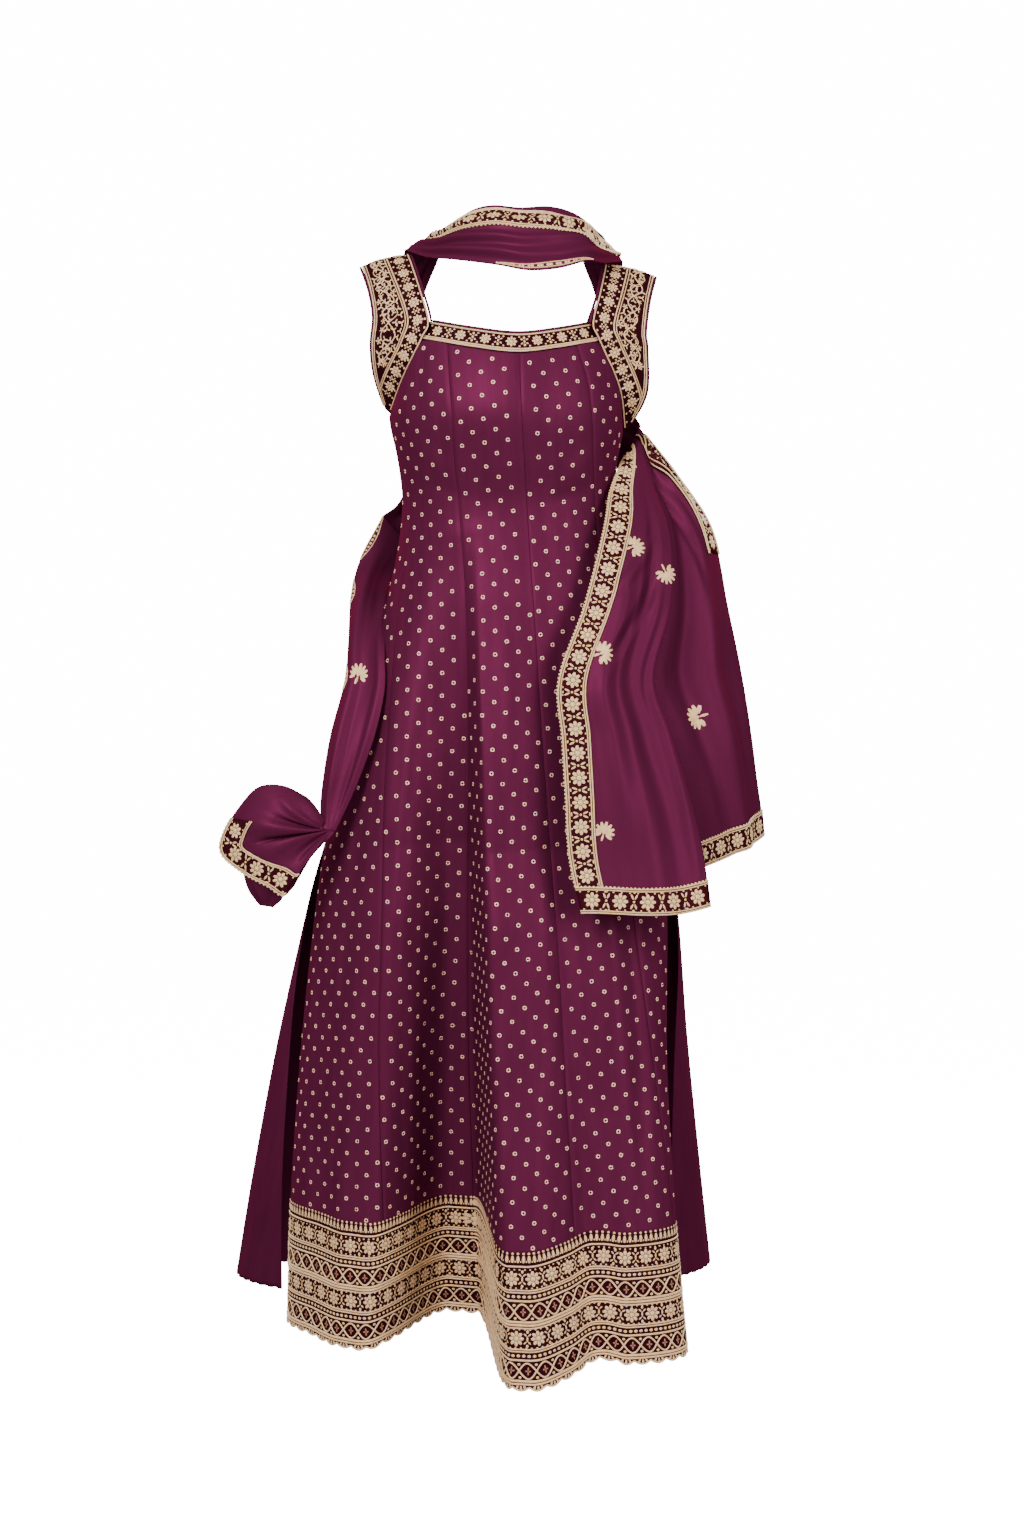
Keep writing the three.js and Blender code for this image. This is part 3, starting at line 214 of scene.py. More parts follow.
FRONT_SECTIONS = table("z left right reach", [
    (-60, -126, 124, 74), (-100, -134, 131, 98), (-150, -140, 138, 118), (-190, -141, 139, 124),
    (-240, -131, 131, 112), (-290, -126, 126, 98), (-350, -133, 133, 102), (-410, -147, 147, 112),
    (-500, -170, 163, 120), (-600, -198, 177, 126), (-690, -219, 185, 127), (-780, -233, 190, 118),
    (-950, -252, 189, 108), (-1135, -266, 199, 102), (-1284, -271, 212, 100),
])
FRONT_EDGES = table("z left_y right_y turn", [
    (-690, 0, 0, 0), (-735, -1, -24, 5), (-780, -2, -45, 14), (-950, 4, -78, 28),
    (-1135, 8, -105, 38), (-1284, 10, -120, 42),
])
FRONT_SEAMS = table("z side_left princess_left centre princess_right", [
    (-100, -133, -70, 14, 78), (-150, -138.5, -67, 14.5, 93), (-190, -138, -64, 16, 98),
    (-240, -127, -62, 19, 100), (-290, -120, -57, 22, 103), (-410, -131, -49, 30, 113),
    (-600, -144, -47, 43, 131), (-780, -148, -47, 57, 148), (-950, -152, -47, 67, 172),
    (-1135, -146, -42, 78, 196), (-1284, -144, -40, 86, 210),
])
# Each fold starts at start_z and grows down to the hem. enter to settle is its left
# flank and leave to end its right one, at the start (s_) and at the hem (h_).
FRONT_FOLDS = [
    dict(start_z=-330, growth=1.15, depth=146, lift=13, s_enter=-108, s_settle=-64,
         s_leave=-54, s_end=-36, h_enter=-170, h_settle=-70, h_leave=-37, h_end=-6),
    dict(start_z=-420, growth=1.3, depth=-56, lift=-15, s_enter=-54, s_settle=-34,
         s_leave=-14, s_end=60, h_enter=-28, h_settle=6, h_leave=26, h_end=112),
    dict(start_z=-640, growth=1.4, depth=9, lift=4, s_enter=50, s_settle=80,
         s_leave=84, s_end=118, h_enter=74, h_settle=100, h_leave=112, h_end=142),
    dict(start_z=-560, growth=1.2, depth=-12, lift=-3, s_enter=-190, s_settle=-150,
         s_leave=-140, s_end=-108, h_enter=-246, h_settle=-206, h_leave=-182, h_end=-140),
]
WRAP_REACH = 150
CHEST_FULLNESS = 0.82
FULL_CHEST_Z = -200
ROUND_SKIRT_Z = -420
FLAT_SIDES = 0.25

# Small drag lines and soft dents in the satin: from x, z to x, z on the front, the
# half-width, and the height, outward if above 0.
FRONT_CREASES = table("x0 z0 x1 z1 half height", [
    (-120, -215, -60, -262, 16, 1.4), (118, -212, 66, -268, 17, 1.5),
    (-118, -262, -40, -285, 12, -1.1), (112, -268, 40, -292, 13, -1.2),
    (-96, -330, -20, -318, 14, 0.9), (84, -335, 30, -322, 14, 0.9),
    (-40, -200, -30, -330, 20, -1.2), (52, -190, 44, -330, 22, 1.3),
    (0, -420, 8, -640, 26, 2.6), (86, -380, 108, -610, 24, 2.4),
    (60, -430, 76, -700, 20, -2.8), (112, -600, 134, -980, 22, 4.0),
    (140, -720, 164, -1130, 16, -3.6), (-20, -520, -12, -820, 14, 2.4),
    (30, -640, 58, -1040, 22, 3.4), (4, -760, 22, -1150, 16, -2.4),
    (-170, -560, -196, -900, 16, -3.4), (-214, -760, -236, -1130, 16, -3.0),
    (-118, -420, -150, -700, 16, 2.6), (-108, -820, -118, -1180, 14, 3.2),
    (-186, -930, -204, -1280, 18, 3.0), (96, -1000, 116, -1284, 16, 2.6),
])

front_section = curves(FRONT_SECTIONS, "z")
front_seam = curves(FRONT_SEAMS, "z")
front_edges = curves(FRONT_EDGES, "z")


def front_edge(name, level):
    """Above the slits the side edges of front and back meet at mid-body."""
    return np.where(level > SLIT_TOP_Z, 0, front_edges[name](level))


def fold_share(fold, x, level):
    growth = np.clip((level - fold["start_z"]) / (HEM_Z - fold["start_z"]), 0, 1)
    enter, settle, leave, end = (
        blend(fold["s_" + name], fold["h_" + name], growth)
        for name in ("enter", "settle", "leave", "end"))
    rise = smooth_step(0, 1, (x - enter) / (settle - enter))
    fall = 1 - smooth_step(0, 1, (x - leave) / (end - leave))
    return rise * fall * growth**fold["growth"]


def crease_height(creases, across, along):
    """The height of a set of straight soft creases at places on a piece."""
    height = np.zeros(np.broadcast(across, along).shape)
    for x0, z0, x1, z1, half, rise in zip(*creases.values()):
        length = math.hypot(x1 - x0, z1 - z0)
        part = ((across - x0) * (x1 - x0) + (along - z0) * (z1 - z0)) / length**2
        held = np.clip(part, 0, 1)
        away = np.hypot(across - x0 - held * (x1 - x0), along - z0 - held * (z1 - z0))
        taper = np.sin(math.pi * np.clip(part, 0.02, 0.98)) ** 0.7
        height = height + rise * taper * (1 - smooth_step(0, half, away))
    return height


def fullness(level):
    """The power of a section's curve: full over the chest and round in the skirt."""
    return blend(CHEST_FULLNESS, 1, smooth_step(FULL_CHEST_Z, ROUND_SKIRT_Z, level))


def kurti_front(angle, level):
    """A point of the front at an angle from its middle, left below 0, and at a level,
    which is the height of a row of cloth before the folds lift it."""
    left, right = front_section["left"](level), front_section["right"](level)
    side, facing = np.sin(angle), np.cos(angle)
    x = (left + right) / 2 + (right - left) / 2 * side
    side_y = blend(front_edge("left_y", level), front_edge("right_y", level), (side + 1) / 2)
    reach = np.where(facing < 0, WRAP_REACH, front_section["reach"](level))
    y = side_y - reach * np.sign(facing) * np.abs(facing) ** fullness(level)
    z = np.array(level, float) + 0 * x
    flat = smooth_step(0, FLAT_SIDES, facing)
    for fold in FRONT_FOLDS:
        share = fold_share(fold, x, level) * flat
        y = y + fold["depth"] * share
        z = z + fold["lift"] * share
    y = y - crease_height(FRONT_CREASES, x, level) * flat
    return np.stack([x, y, z], -1)


def front_angle(x, level):
    left, right = front_section["left"](level), front_section["right"](level)
    return np.arcsin(np.clip((2 * x - left - right) / (right - left), -1, 1))


LEFT_YOKE = table("z x", [
    (-80, -91), (-100, -99), (-142, -121), (-184, -139),
])
RIGHT_YOKE = table("z x", [
    (-82, 98), (-102, 106), (-155, 130), (-206, 136.5),
])
NECK_TOP = table("x z", [
    (-91, -80), (-40, -90), (12, -96), (60, -90), (98, -82),
])
left_yoke_x = curve(LEFT_YOKE, "z", "x")
right_yoke_x = curve(RIGHT_YOKE, "z", "x")
neck_top_z = curve(NECK_TOP, "x", "z")


def inside_yoke(x, level, below=NECK_BAND_HEIGHT, margin=0.0):
    """Whether places of the front lie a height below the neck's edge and a margin in
    from the two slanted edges under the straps."""
    neck = neck_top_z(np.clip(x, NECK_TOP["x"][0], NECK_TOP["x"][-1]))
    return ((level < neck - below) & (x > left_yoke_x(level) + margin)
            & (x < right_yoke_x(level) - margin))


def highest(is_cloth, high, low, count):
    """The highest level at which each column of a panel is still cloth, found by
    halving the span from high to low."""
    high, low = np.full(count, float(high)), np.full(count, float(low))
    for _ in range(40):
        middle = (high + low) / 2
        cloth = is_cloth(middle)
        low, high = np.where(cloth, middle, low), np.where(cloth, high, middle)
    return low


def right_edge_angle(level):
    return math.pi / 2 + np.radians(front_edge("turn", level))


SIDE_SEAM_SHARE = 0.55  # of the way from the right princess seam to the edge


def right_side_seam(level):
    return blend(front_angle(front_seam["princess_right"](level), level),
                 right_edge_angle(level), SIDE_SEAM_SHARE)


def front_seam_angle(name, level):
    """Where a seam or side edge of the front lies, as an angle."""
    if name == "left":
        return -math.pi / 2 + 0 * level
    if name in front_seam:
        return front_angle(front_seam[name](level), level)
    return {"side_right": right_side_seam, "right": right_edge_angle}[name](level)


STEP = 1e-3  # of the finite differences


def seam_margin(form, angle, level, gap):
    travel = form(angle + STEP, level) - form(angle - STEP, level)
    return gap * STEP / lengths(travel)


def even_along(count, line_at):
    """Steps that are even in length along a line of a surface."""
    samples = np.linspace(0, 1, 400)
    reached = run_along(line_at(samples))
    return np.interp(np.linspace(0, reached[-1], count + 1), reached, samples)


def normals(surface, u, v):
    """Outward normals of a surface whose u runs right and v runs down."""
    along_u = surface(u + STEP, v) - surface(u - STEP, v)
    along_v = surface(u, v + STEP) - surface(u, v - STEP)
    return unit(np.cross(along_v, along_u))


def finish_piece(name, bm, points, uvs, material, node=None):
    """Makes an object of a bmesh whose vertices lie at points, in millimetres."""
    mesh = new_mesh(name, bm)
    mesh.vertices.foreach_set("co", (np.asarray(points) * MM).ravel())
    layer = mesh.uv_layers.get("cloth") or mesh.uv_layers.new(name="cloth")
    corners = np.empty(len(mesh.loops), np.int32)
    mesh.loops.foreach_get("vertex_index", corners)
    layer.uv.foreach_set("vector", (np.asarray(uvs)[corners] * MM).ravel())
    mesh.shade_smooth()
    mesh.materials.append(material)
    piece = bpy.data.objects.new(name, mesh)
    bpy.context.collection.objects.link(piece)
    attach(piece, "root")
    if node:
        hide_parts(node)
    return piece


def lay_cloth(name, surface, columns, rows, wall, material, node):
    """One panel of cloth, its grid laid over a surface, given its thickness inward.
    Its UV map is in metres along and across the cloth."""
    across, down = len(columns), len(rows)
    bm = bmesh.new()
    bmesh.ops.create_grid(bm, x_segments=across - 1, y_segments=down - 1, size=1)
    place = np.array([v.co[:2] for v in bm.verts])
    i = np.rint((place[:, 0] + 1) / 2 * (across - 1)).astype(int)
    j = np.rint((1 - place[:, 1]) / 2 * (down - 1)).astype(int)
    u, v = np.meshgrid(columns, rows)
    points = surface(u, v)
    run_u = np.zeros(u.shape)
    run_u[:, 1:] = np.cumsum(lengths(np.diff(points, axis=1)), axis=1)
    run_u -= run_u[:, -1:] / 2
    run_v = np.zeros(u.shape)
    run_v[1:] = -np.cumsum(lengths(np.diff(points, axis=0)), axis=0)
    uvs = np.stack([run_u, run_v], -1)
    piece = finish_piece(name, bm, points[j, i], uvs[j, i], material, node)
    thickness = piece.modifiers.new("cloth thickness", "SOLIDIFY")
    thickness.thickness = wall * MM
    thickness.offset = -1
    return piece


def on_cloth(tree, scale, turn=0):
    """The cloth's own metres, scaled and turned, for a texture to lie in."""
    uv = add_node(tree, "ShaderNodeUVMap", uv_map="cloth")
    place = add_node(tree, "ShaderNodeMapping", {
        "Vector": uv.outputs[0], "Rotation": (0, 0, math.radians(turn)), "Scale": scale})
    return place.outputs[0]


def noise(tree, place, detail, roughness, scale=1.0):
    return add_node(tree, "ShaderNodeTexNoise", {
        "Vector": place, "Scale": scale, "Detail": detail, "Roughness": roughness}).outputs[0]


def thread_shader(tree, tone, shade, lit, relief, finish):
    """Shades a material from one colour to another by tone, and raises its threads
    by relief: their height, its strength and its distance."""
    colour = add_node(tree, "ShaderNodeMix", {
        "Factor": tone, "A": linear(shade), "B": linear(lit)}, data_type="RGBA")
    bump = add_node(tree, "ShaderNodeBump", dict(zip(("Height", "Strength", "Distance"), relief)))
    shader = add_node(tree, "ShaderNodeBsdfPrincipled", {
        "Base Color": colour.outputs["Result"], "Normal": bump.outputs[0], **finish})
    add_node(tree, "ShaderNodeOutputMaterial", {"Surface": shader.outputs[0]})


def satin(name, lit, shade, weave_mm=1.1):
    """Woven satin: smooth floats give soft broad highlights in the thread's own
    colour. Threads are 0.1 mm apart; they are drawn coarser so that they show."""
    material, tree = new_material(name)
    clouds = noise(tree, on_cloth(tree, (60, 9, 1)), 3.0, 0.55)
    weave = noise(tree, on_cloth(tree, (1000 / weave_mm, 160 / weave_mm, 1)), 2.0, 0.6)
    thread_shader(tree, clouds, shade, lit, (weave, 0.10, 0.0005), {
        "Roughness": 0.48, "Metallic": 0.28, "Specular IOR Level": 0.0,
        "Specular Tint": linear("c46a92")})
    return material


kurti_satin = satin("plum satin", "581c38", "45142c")

KALIS = [dict(zip(("name", "start", "end", "columns", "flat", "area"), row)) for row in (
    ("side_left", "left", "side_left", 26, (0.181, 0.965), 0.105),
    ("left", "side_left", "princess_left", 52, (0.147, 1.036), 0.113),
    ("middle_left", "princess_left", "centre", 46, (0.273, 1.052), 0.149),
    ("middle_right", "centre", "princess_right", 34, (0.137, 1.048), 0.105),
    ("right", "princess_right", "side_right", 20, (0.086, 1.049), 0.055),
    ("side_right", "side_right", "right", 20, (0.086, 0.997), 0.047),
)]
BAND_TOP_LEVEL = HEM_Z + HEM_BAND_HEIGHT
BAND_WALL = 1.8
TUCK = 4  # how far the kalis run on behind the border
TUCK_DEPTH = BAND_WALL + 0.3
SEAM_COLUMNS = np.array([1.2, 2.88])  # grid columns this far in from a seam
KALI_ROWS = np.concatenate([[0, 0.001, 0.002, 0.0032], np.linspace(0, 1, 231)[1:-2],
                            [0.9945, 0.9965, 0.998, 1]])


def kali_angle(kali, u, level):
    start = front_seam_angle(kali["start"], level)
    end = front_seam_angle(kali["end"], level)
    start = start + seam_margin(kurti_front, start, level, SEAM_GAP)
    end = end - seam_margin(kurti_front, end, level, SEAM_GAP)
    return blend(start, end, u)


def kali_point(kali, u, level):
    return kurti_front(kali_angle(kali, u, level), level)


def seam_dip(surface, width_at, tucked, depth=0.9, reach=3.5):
    """The same surface with its two side edges drawn in a little, as at a seam, and
    drawn in by tucked(u, v) besides."""
    def dipped(u, v):
        away = np.minimum(u, 1 - u) * width_at(u, v)
        drawn = depth * (1 - smooth_step(0, reach, away)) + tucked(u, v)
        return surface(u, v) - normals(surface, u, v) * drawn[..., None]
    return dipped


for kali in KALIS:
    def hem_line(u):
        return kali_point(kali, u, BAND_TOP_LEVEL + 0 * u)

    steps = even_along(kali["columns"], hem_line)
    beside = SEAM_COLUMNS / run_along(hem_line(steps))[-1]
    columns = np.unique(np.concatenate([steps, beside, 1 - beside]))
    top = highest(lambda level: inside_yoke(kali_point(kali, columns, level)[:, 0], level),
                  NECK_TOP["z"][0] - NECK_BAND_HEIGHT, RIGHT_YOKE["z"][-1],
                  len(columns)) - SLANT_GAP / 2
    lap = TUCK / 2 if "middle" in kali["name"] else 0.0  # how far it runs up behind the band

    def rim_and_level(u, v):
        rim = np.interp(u, columns, top)
        return rim, blend(rim + lap, BAND_TOP_LEVEL - TUCK, v)

    def kali_surface(u, v):
        return kali_point(kali, u, rim_and_level(u, v)[1])

    def kali_width(u, v):
        level = blend(-110, BAND_TOP_LEVEL, v)
        chord = kali_point(kali, 0 * u + 1, level) - kali_point(kali, 0 * u, level)
        return lengths(chord)

    def tucked(u, v):
        rim, level = rim_and_level(u, v)
        below = smooth_step(BAND_TOP_LEVEL + 1.5, BAND_TOP_LEVEL, level)
        above = smooth_step(-1.2, 0.0, level - rim) if lap else 0.0
        return TUCK_DEPTH * np.maximum(below, above)

    piece = lay_cloth("kali_" + kali["name"], seam_dip(kali_surface, kali_width, tucked),
                      columns, KALI_ROWS, KURTI_WALL, kurti_satin,
                      "front_kali_" + kali["name"])

# ------------------------------------------------------------- kurti, gold butis
# Small four-petalled butis woven in gold zari lie in a diamond lattice on each front
# kali, one cell every 27 mm, and break off at its seams.

BEDDED = 0.15  # how deep the rim of a stitch lies in the cloth
DEEPEST_SLANT = 0.3  # below this share of a right angle's, a place can't be worked out


def zari(name, lit, shade):
    """Zari: flat gold wire wound on a thread and couched down, so it glints like
    metal but rough and warm, with fine ridges across each cord. The threads are
    0.3 mm thick, drawn coarser so that they show. Its colour carries painted light:
    the lit colour on the crests of the ridges is a painted highlight, and the shade
    colour in their grooves is painted shade. In random patches the ridges fade."""
    material, tree = new_material(name)
    pitch_mm, twist = 0.9, 35
    ridges = add_node(tree, "ShaderNodeTexWave", {
        "Vector": on_cloth(tree, (1000 / pitch_mm, 1000 / pitch_mm, 1), twist), "Scale": 0.32,
        "Distortion": 1.6, "Detail": 1.0, "Detail Scale": 1.5}, wave_type="BANDS")
    place = add_node(tree, "ShaderNodeTexCoord")
    wear = noise(tree, place.outputs["Object"], 3.0, 0.7, scale=260.0)
    tone = add_node(tree, "ShaderNodeMath", {0: ridges.outputs["Fac"], 1: wear},
                    operation="MULTIPLY").outputs[0]
    # Painted light: the crests of the ridges take the lit colour as a painted highlight, and their
    # grooves take the shade colour as painted shade.
    painted_thread_light = add_node(tree, "ShaderNodeMapRange", {
        "Value": tone, "From Min": 0.05, "From Max": 0.5})
    thread_shader(tree, painted_thread_light.outputs[0], shade, lit, (tone, 0.45, 0.0006),
                  {"Metallic": 0.15, "Roughness": 0.42})
    return material


# Each zari gets its lit colour, painted on the thread crests as highlight, and then its shade
# colour, painted in the grooves as shade.
gold_zari = zari("gold zari thread", "ffdcb0", "bd8650")
buti_zari = zari("woven pale gold zari", "ffdcc2", "f0b68e")


def petal(bm, x, y, length, width, turn, height):
    """One stitched petal, leaf or bead: a disc whose middle stands up."""
    made = bmesh.ops.create_circle(bm, cap_ends=True, cap_tris=True, radius=1, segments=6)
    angle = math.radians(turn)
    for vert in made["verts"]:
        rim = vert.co.length > 0.5
        along, across = vert.co.x * length / 2, vert.co.y * width / 2
        vert.co = (x + along * math.cos(angle) - across * math.sin(angle),
                   y + along * math.sin(angle) + across * math.cos(angle),
                   -BEDDED if rim else height)


def motif(name, petals):
    """A motif of petals: rows of x, y, length, width, turn, height."""
    bm = bmesh.new()
    for row in petals:
        petal(bm, *row)
    bmesh.ops.recalc_face_normals(bm, faces=bm.faces)
    down = [face for face in bm.faces if face.normal.z < 0]
    bmesh.ops.reverse_faces(bm, faces=down)
    return new_mesh(name, bm)


def ring(radius, length, width, height, turns):
    """Petals set round a middle, each pointing away from it."""
    return [(radius * math.cos(math.radians(turn)), radius * math.sin(math.radians(turn)),
             length, width, turn, height) for turn in turns]


def mirrored(x, y, length, width, turn, height):
    """One petal and its three mirror images, left to right and top to bottom."""
    return [(x, y, length, width, turn, height), (-x, y, length, width, 180 - turn, height),
            (x, -y, length, width, -turn, height), (-x, -y, length, width, 180 + turn, height)]


def new_work():
    """Embroidery in the making: one bmesh, and where its vertices go."""
    return dict(bm=bmesh.new(), points=[], uvs=[])


def sew(work, mesh, spots, surface, lift=0.0):
    """Sews a motif at many spots, rows of u, v, turn and size. Each copy bends with
    the cloth, and keeps its real size whatever the surface's own measures are."""
    spots = np.asarray(spots, float)
    shape = np.array([v.co for v in mesh.vertices])
    for _ in spots:
        work["bm"].from_mesh(mesh)
    u, v, turn, size = (spots[:, k][:, None] for k in range(4))
    turn = np.radians(turn)
    right = (shape[:, 0] * np.cos(turn) - shape[:, 1] * np.sin(turn)) * size
    up = (shape[:, 0] * np.sin(turn) + shape[:, 1] * np.cos(turn)) * size
    along_u = (surface(u + STEP, v) - surface(u - STEP, v)) / (2 * STEP)
    along_v = (surface(u, v + STEP) - surface(u, v - STEP)) / (2 * STEP)
    east = unit(along_u)
    north = np.cross(unit(np.cross(along_v, along_u)), east)
    goal = right[..., None] * east + up[..., None] * north
    uu, uv, vv = ((a * b).sum(-1) for a, b in (
        (along_u, along_u), (along_u, along_v), (along_v, along_v)))
    gu, gv = (goal * along_u).sum(-1), (goal * along_v).sum(-1)
    det = np.maximum(uu * vv - uv * uv, DEEPEST_SLANT * uu * vv)
    to_u, to_v = u + (gu * vv - gv * uv) / det, v + (gv * uu - gu * uv) / det
    height = shape[:, 2][None, :] * size + lift
    points = surface(to_u, to_v) + normals(surface, to_u, to_v) * height[..., None]
    work["points"].append(points.reshape(-1, 3))
    flat = np.stack([np.broadcast_to(shape[:, 0], height.shape),
                     np.broadcast_to(shape[:, 1], height.shape)], -1)
    work["uvs"].append(flat.reshape(-1, 2))


def couch(work, surface, u, v, width, height=None, lift=0.0):
    """A cord couched down along a line on the surface, round on top."""
    u, v = places(u, v)
    count = len(u)
    centre = surface(u, v)
    outward = normals(surface, u, v)
    side = np.cross(outward, unit(np.gradient(centre, axis=0)))
    bm = bmesh.new()
    bmesh.ops.create_grid(bm, x_segments=count - 1, y_segments=4, size=1)
    place = np.array([vert.co[:2] for vert in bm.verts])
    i = np.rint((place[:, 0] + 1) / 2 * (count - 1)).astype(int)
    across = place[:, 1]
    rise = np.sqrt(np.clip(1 - across**2, 0, 1)) * (height or width / 2) - BEDDED + lift
    points = centre[i] + side[i] * (across * width / 2)[:, None] + outward[i] * rise[:, None]
    mesh = new_mesh("cord", bm)
    work["bm"].from_mesh(mesh)
    bpy.data.meshes.remove(mesh)
    work["points"].append(points)
    work["uvs"].append(np.stack([run_along(centre)[i], across * width / 2], -1))


def finish_work(name, work, material):
    return finish_piece(name, work["bm"], np.concatenate(work["points"]),
                        np.concatenate(work["uvs"]), material)


def front_face(angle, drop):
    """The front by how far down a point is, so that it faces outward for needlework."""
    return kurti_front(angle, -np.asarray(drop))


# A tape of the same satin is sewn inside over each seam of the front.
FRONT_TOP_Z = -100
TAPE_WIDTH = 8.0
TAPE_HEIGHT = 0.3
TAPE_CLEARANCE = 0.9
YOKE_END_Z = -215  # the front is whole from side to side below this
tapes = new_work()
for kali in KALIS[1:]:
    level = np.linspace(FRONT_TOP_Z, BAND_TOP_LEVEL - TUCK / 2, 330)
    angle = kali_angle(kali, 0 * level, level)
    x = kurti_front(angle, level)[:, 0]
    covered = inside_yoke(x, level, NECK_BAND_HEIGHT / 2) | (level < YOKE_END_Z)
    couch(tapes, front_face, angle[covered], -level[covered], TAPE_WIDTH, TAPE_HEIGHT,
          lift=-KURTI_WALL - TAPE_CLEARANCE)
finish_work("seam_tapes", tapes, kurti_satin)

BUTI_CELL = 27.0
BUTI_SIZE = 0.82
BUTI_TILT = 0.12  # the rows of the lattice rise a little to the right
BUTI_MARGIN = 5.0  # what stays plain along the bands and straps
BUTI_SEAM_MARGIN = 4.5
BUTI_SHIFT = 5.0  # of the cloth's pattern from one kali to the next
WRAPPED_ROUND = 0.08  # the cosine at the side edges, where the front turns back
buti = motif("buti", mirrored(1.55, 1.55, 4.0, 1.8, -45, 0.6))
butis = new_work()
for number, kali in enumerate(KALIS):
    spots = []
    for row in range(int((FRONT_TOP_Z - BAND_TOP_LEVEL) / (BUTI_CELL / 2)) + 2):
        level = np.full(300, FRONT_TOP_Z - row * BUTI_CELL / 2)
        angles = kali_angle(kali, np.linspace(0, 1, 300), level)
        line = kurti_front(angles, level)
        reached = run_along(line)
        half = reached[-1] / 2
        run = (np.arange(-20, 21) + row % 2 / 2) * BUTI_CELL + BUTI_SHIFT * (number % 3)
        run = run[np.abs(run) < half - BUTI_SEAM_MARGIN]
        at = np.interp(run + half, reached, angles)
        x = np.interp(run + half, reached, line[:, 0])
        levels = level[0] + run * BUTI_TILT
        clear = inside_yoke(x, levels, NECK_BAND_HEIGHT + BUTI_MARGIN, BUTI_MARGIN)
        clear = ((clear | (levels < YOKE_END_Z)) & (np.abs(np.cos(at)) > WRAPPED_ROUND)
                 & (levels > BAND_TOP_LEVEL + BUTI_MARGIN))
        spots += [(angle, -place, 0, BUTI_SIZE) for angle, place in zip(at[clear], levels[clear])]
    sew(butis, buti, spots, front_face, lift=0.1)
finish_work("butis_front", butis, buti_zari)

# --------------------------------------------------------- kurti, front hem border
# A woven plum ground covered with gold work runs round the front hem: rows of
# flowers, beads and crossed ogees between couched cords, with a scalloped edge.

SCALLOP_PITCH = 20
SCALLOP_DEPTH = 4


def ribbon(point, t_mid, start=0.0, end=1.0, samples=700):
    """A strip in real lengths: point(t, v) lies t mm in from its edge at share v of
    its length. Returns the surface of mm along and mm across, and its length."""
    shares = np.linspace(start, end, samples)
    line = point(np.full(samples, float(t_mid)), shares)
    reached = run_along(line)
    slope = (shares[1] - shares[0]) / reached[1], (shares[-1] - shares[-2]) / (
        reached[-1] - reached[-2])

    def surface(s, t):
        share = np.interp(s, reached, shares)
        share = share + np.minimum(s, 0) * slope[0] + np.maximum(s - reached[-1], 0) * slope[1]
        return point(t, share)

    return surface, reached[-1]


def border_point(t, share):
    level = BAND_TOP_LEVEL - t
    return kurti_front(blend(-math.pi / 2, right_edge_angle(level), share), level)


border, BORDER_LENGTH = ribbon(border_point, HEM_BAND_HEIGHT / 2)


def scallop(s):
    return SCALLOP_DEPTH * np.abs(np.sin(math.pi * s / SCALLOP_PITCH))


def border_cloth(u, v):
    s = u * BORDER_LENGTH
    return border(s, v * (HEM_BAND_HEIGHT + scallop(s)))


band_ground = satin("dark maroon ground under embroidery", "300c13", "1f070c")
hem_cloth = lay_cloth("hem_border_cloth", border_cloth,
                      np.linspace(0, 1, int(BORDER_LENGTH / 2.5) + 1), np.linspace(0, 1, 25),
                      BAND_WALL, band_ground, "hem_border_front")

# An eight-petalled flower with a knot in its middle, 18 mm across.
flower = motif("flower", ring(5.6, 6.4, 4.4, 1.2, range(0, 360, 45))
               + [(0, 0, 6.2, 6.2, 0, 1.9)])
# A small vase between two flowers: a bar with a bud and a pair of curled leaves at
# each end, 22 mm high.
vase = motif("vase", [(0, 0, 8, 2.6, 90, 1.1), (0, 8.2, 4.6, 3.6, 90, 1.2),
                      (0, -8.2, 4.6, 3.6, 90, 1.2)] + mirrored(2.6, 4.6, 5.4, 2.2, 40, 0.9))
bead = motif("bead", [(0, 0, 4.4, 3.6, 0, 1.1)])
# A copper sprig that fills an ogee cell, and the fan that fills a scallop.
cell_sprig = motif("cell sprig", [
    (0, 2.6, 5.4, 2.4, 90, 0.8), (0, -2.6, 5.4, 2.4, 90, 0.8), (2.0, 0, 3.8, 2.4, 0, 0.8),
    (-2.0, 0, 3.8, 2.4, 0, 0.8)])
fan_stitch = motif("fan stitch", [(x, y, 6.4, 3.0, turn, 1.0) for x, y, turn in (
    (0, -0.4, 90), (4.4, 0.6, 118), (-4.4, 0.6, 62))])
loop_stitch = motif("loop stitch", [(0, 0, 10.4, 4.6, 90, 1.1), (0, 6.4, 3.4, 3.4, 0, 1.0),
                                    (3.3, -2.6, 3.0, 2.2, 90, 0.8)])


def evenly(length, pitch, t, size=1.0, shift=0.5):
    """Spots at an even pitch along a ribbon."""
    count = int(length / pitch)
    step = length / count
    return [((k + shift) * step, t, 0, size) for k in range(count)
            if 1 < (k + shift) * step < length - 1]


def straight_cord(work, surface, length, t, width, step=3.0):
    s = np.linspace(0, length, max(3, int(length / step)))
    couch(work, surface, s, np.full(len(s), float(t)), width)
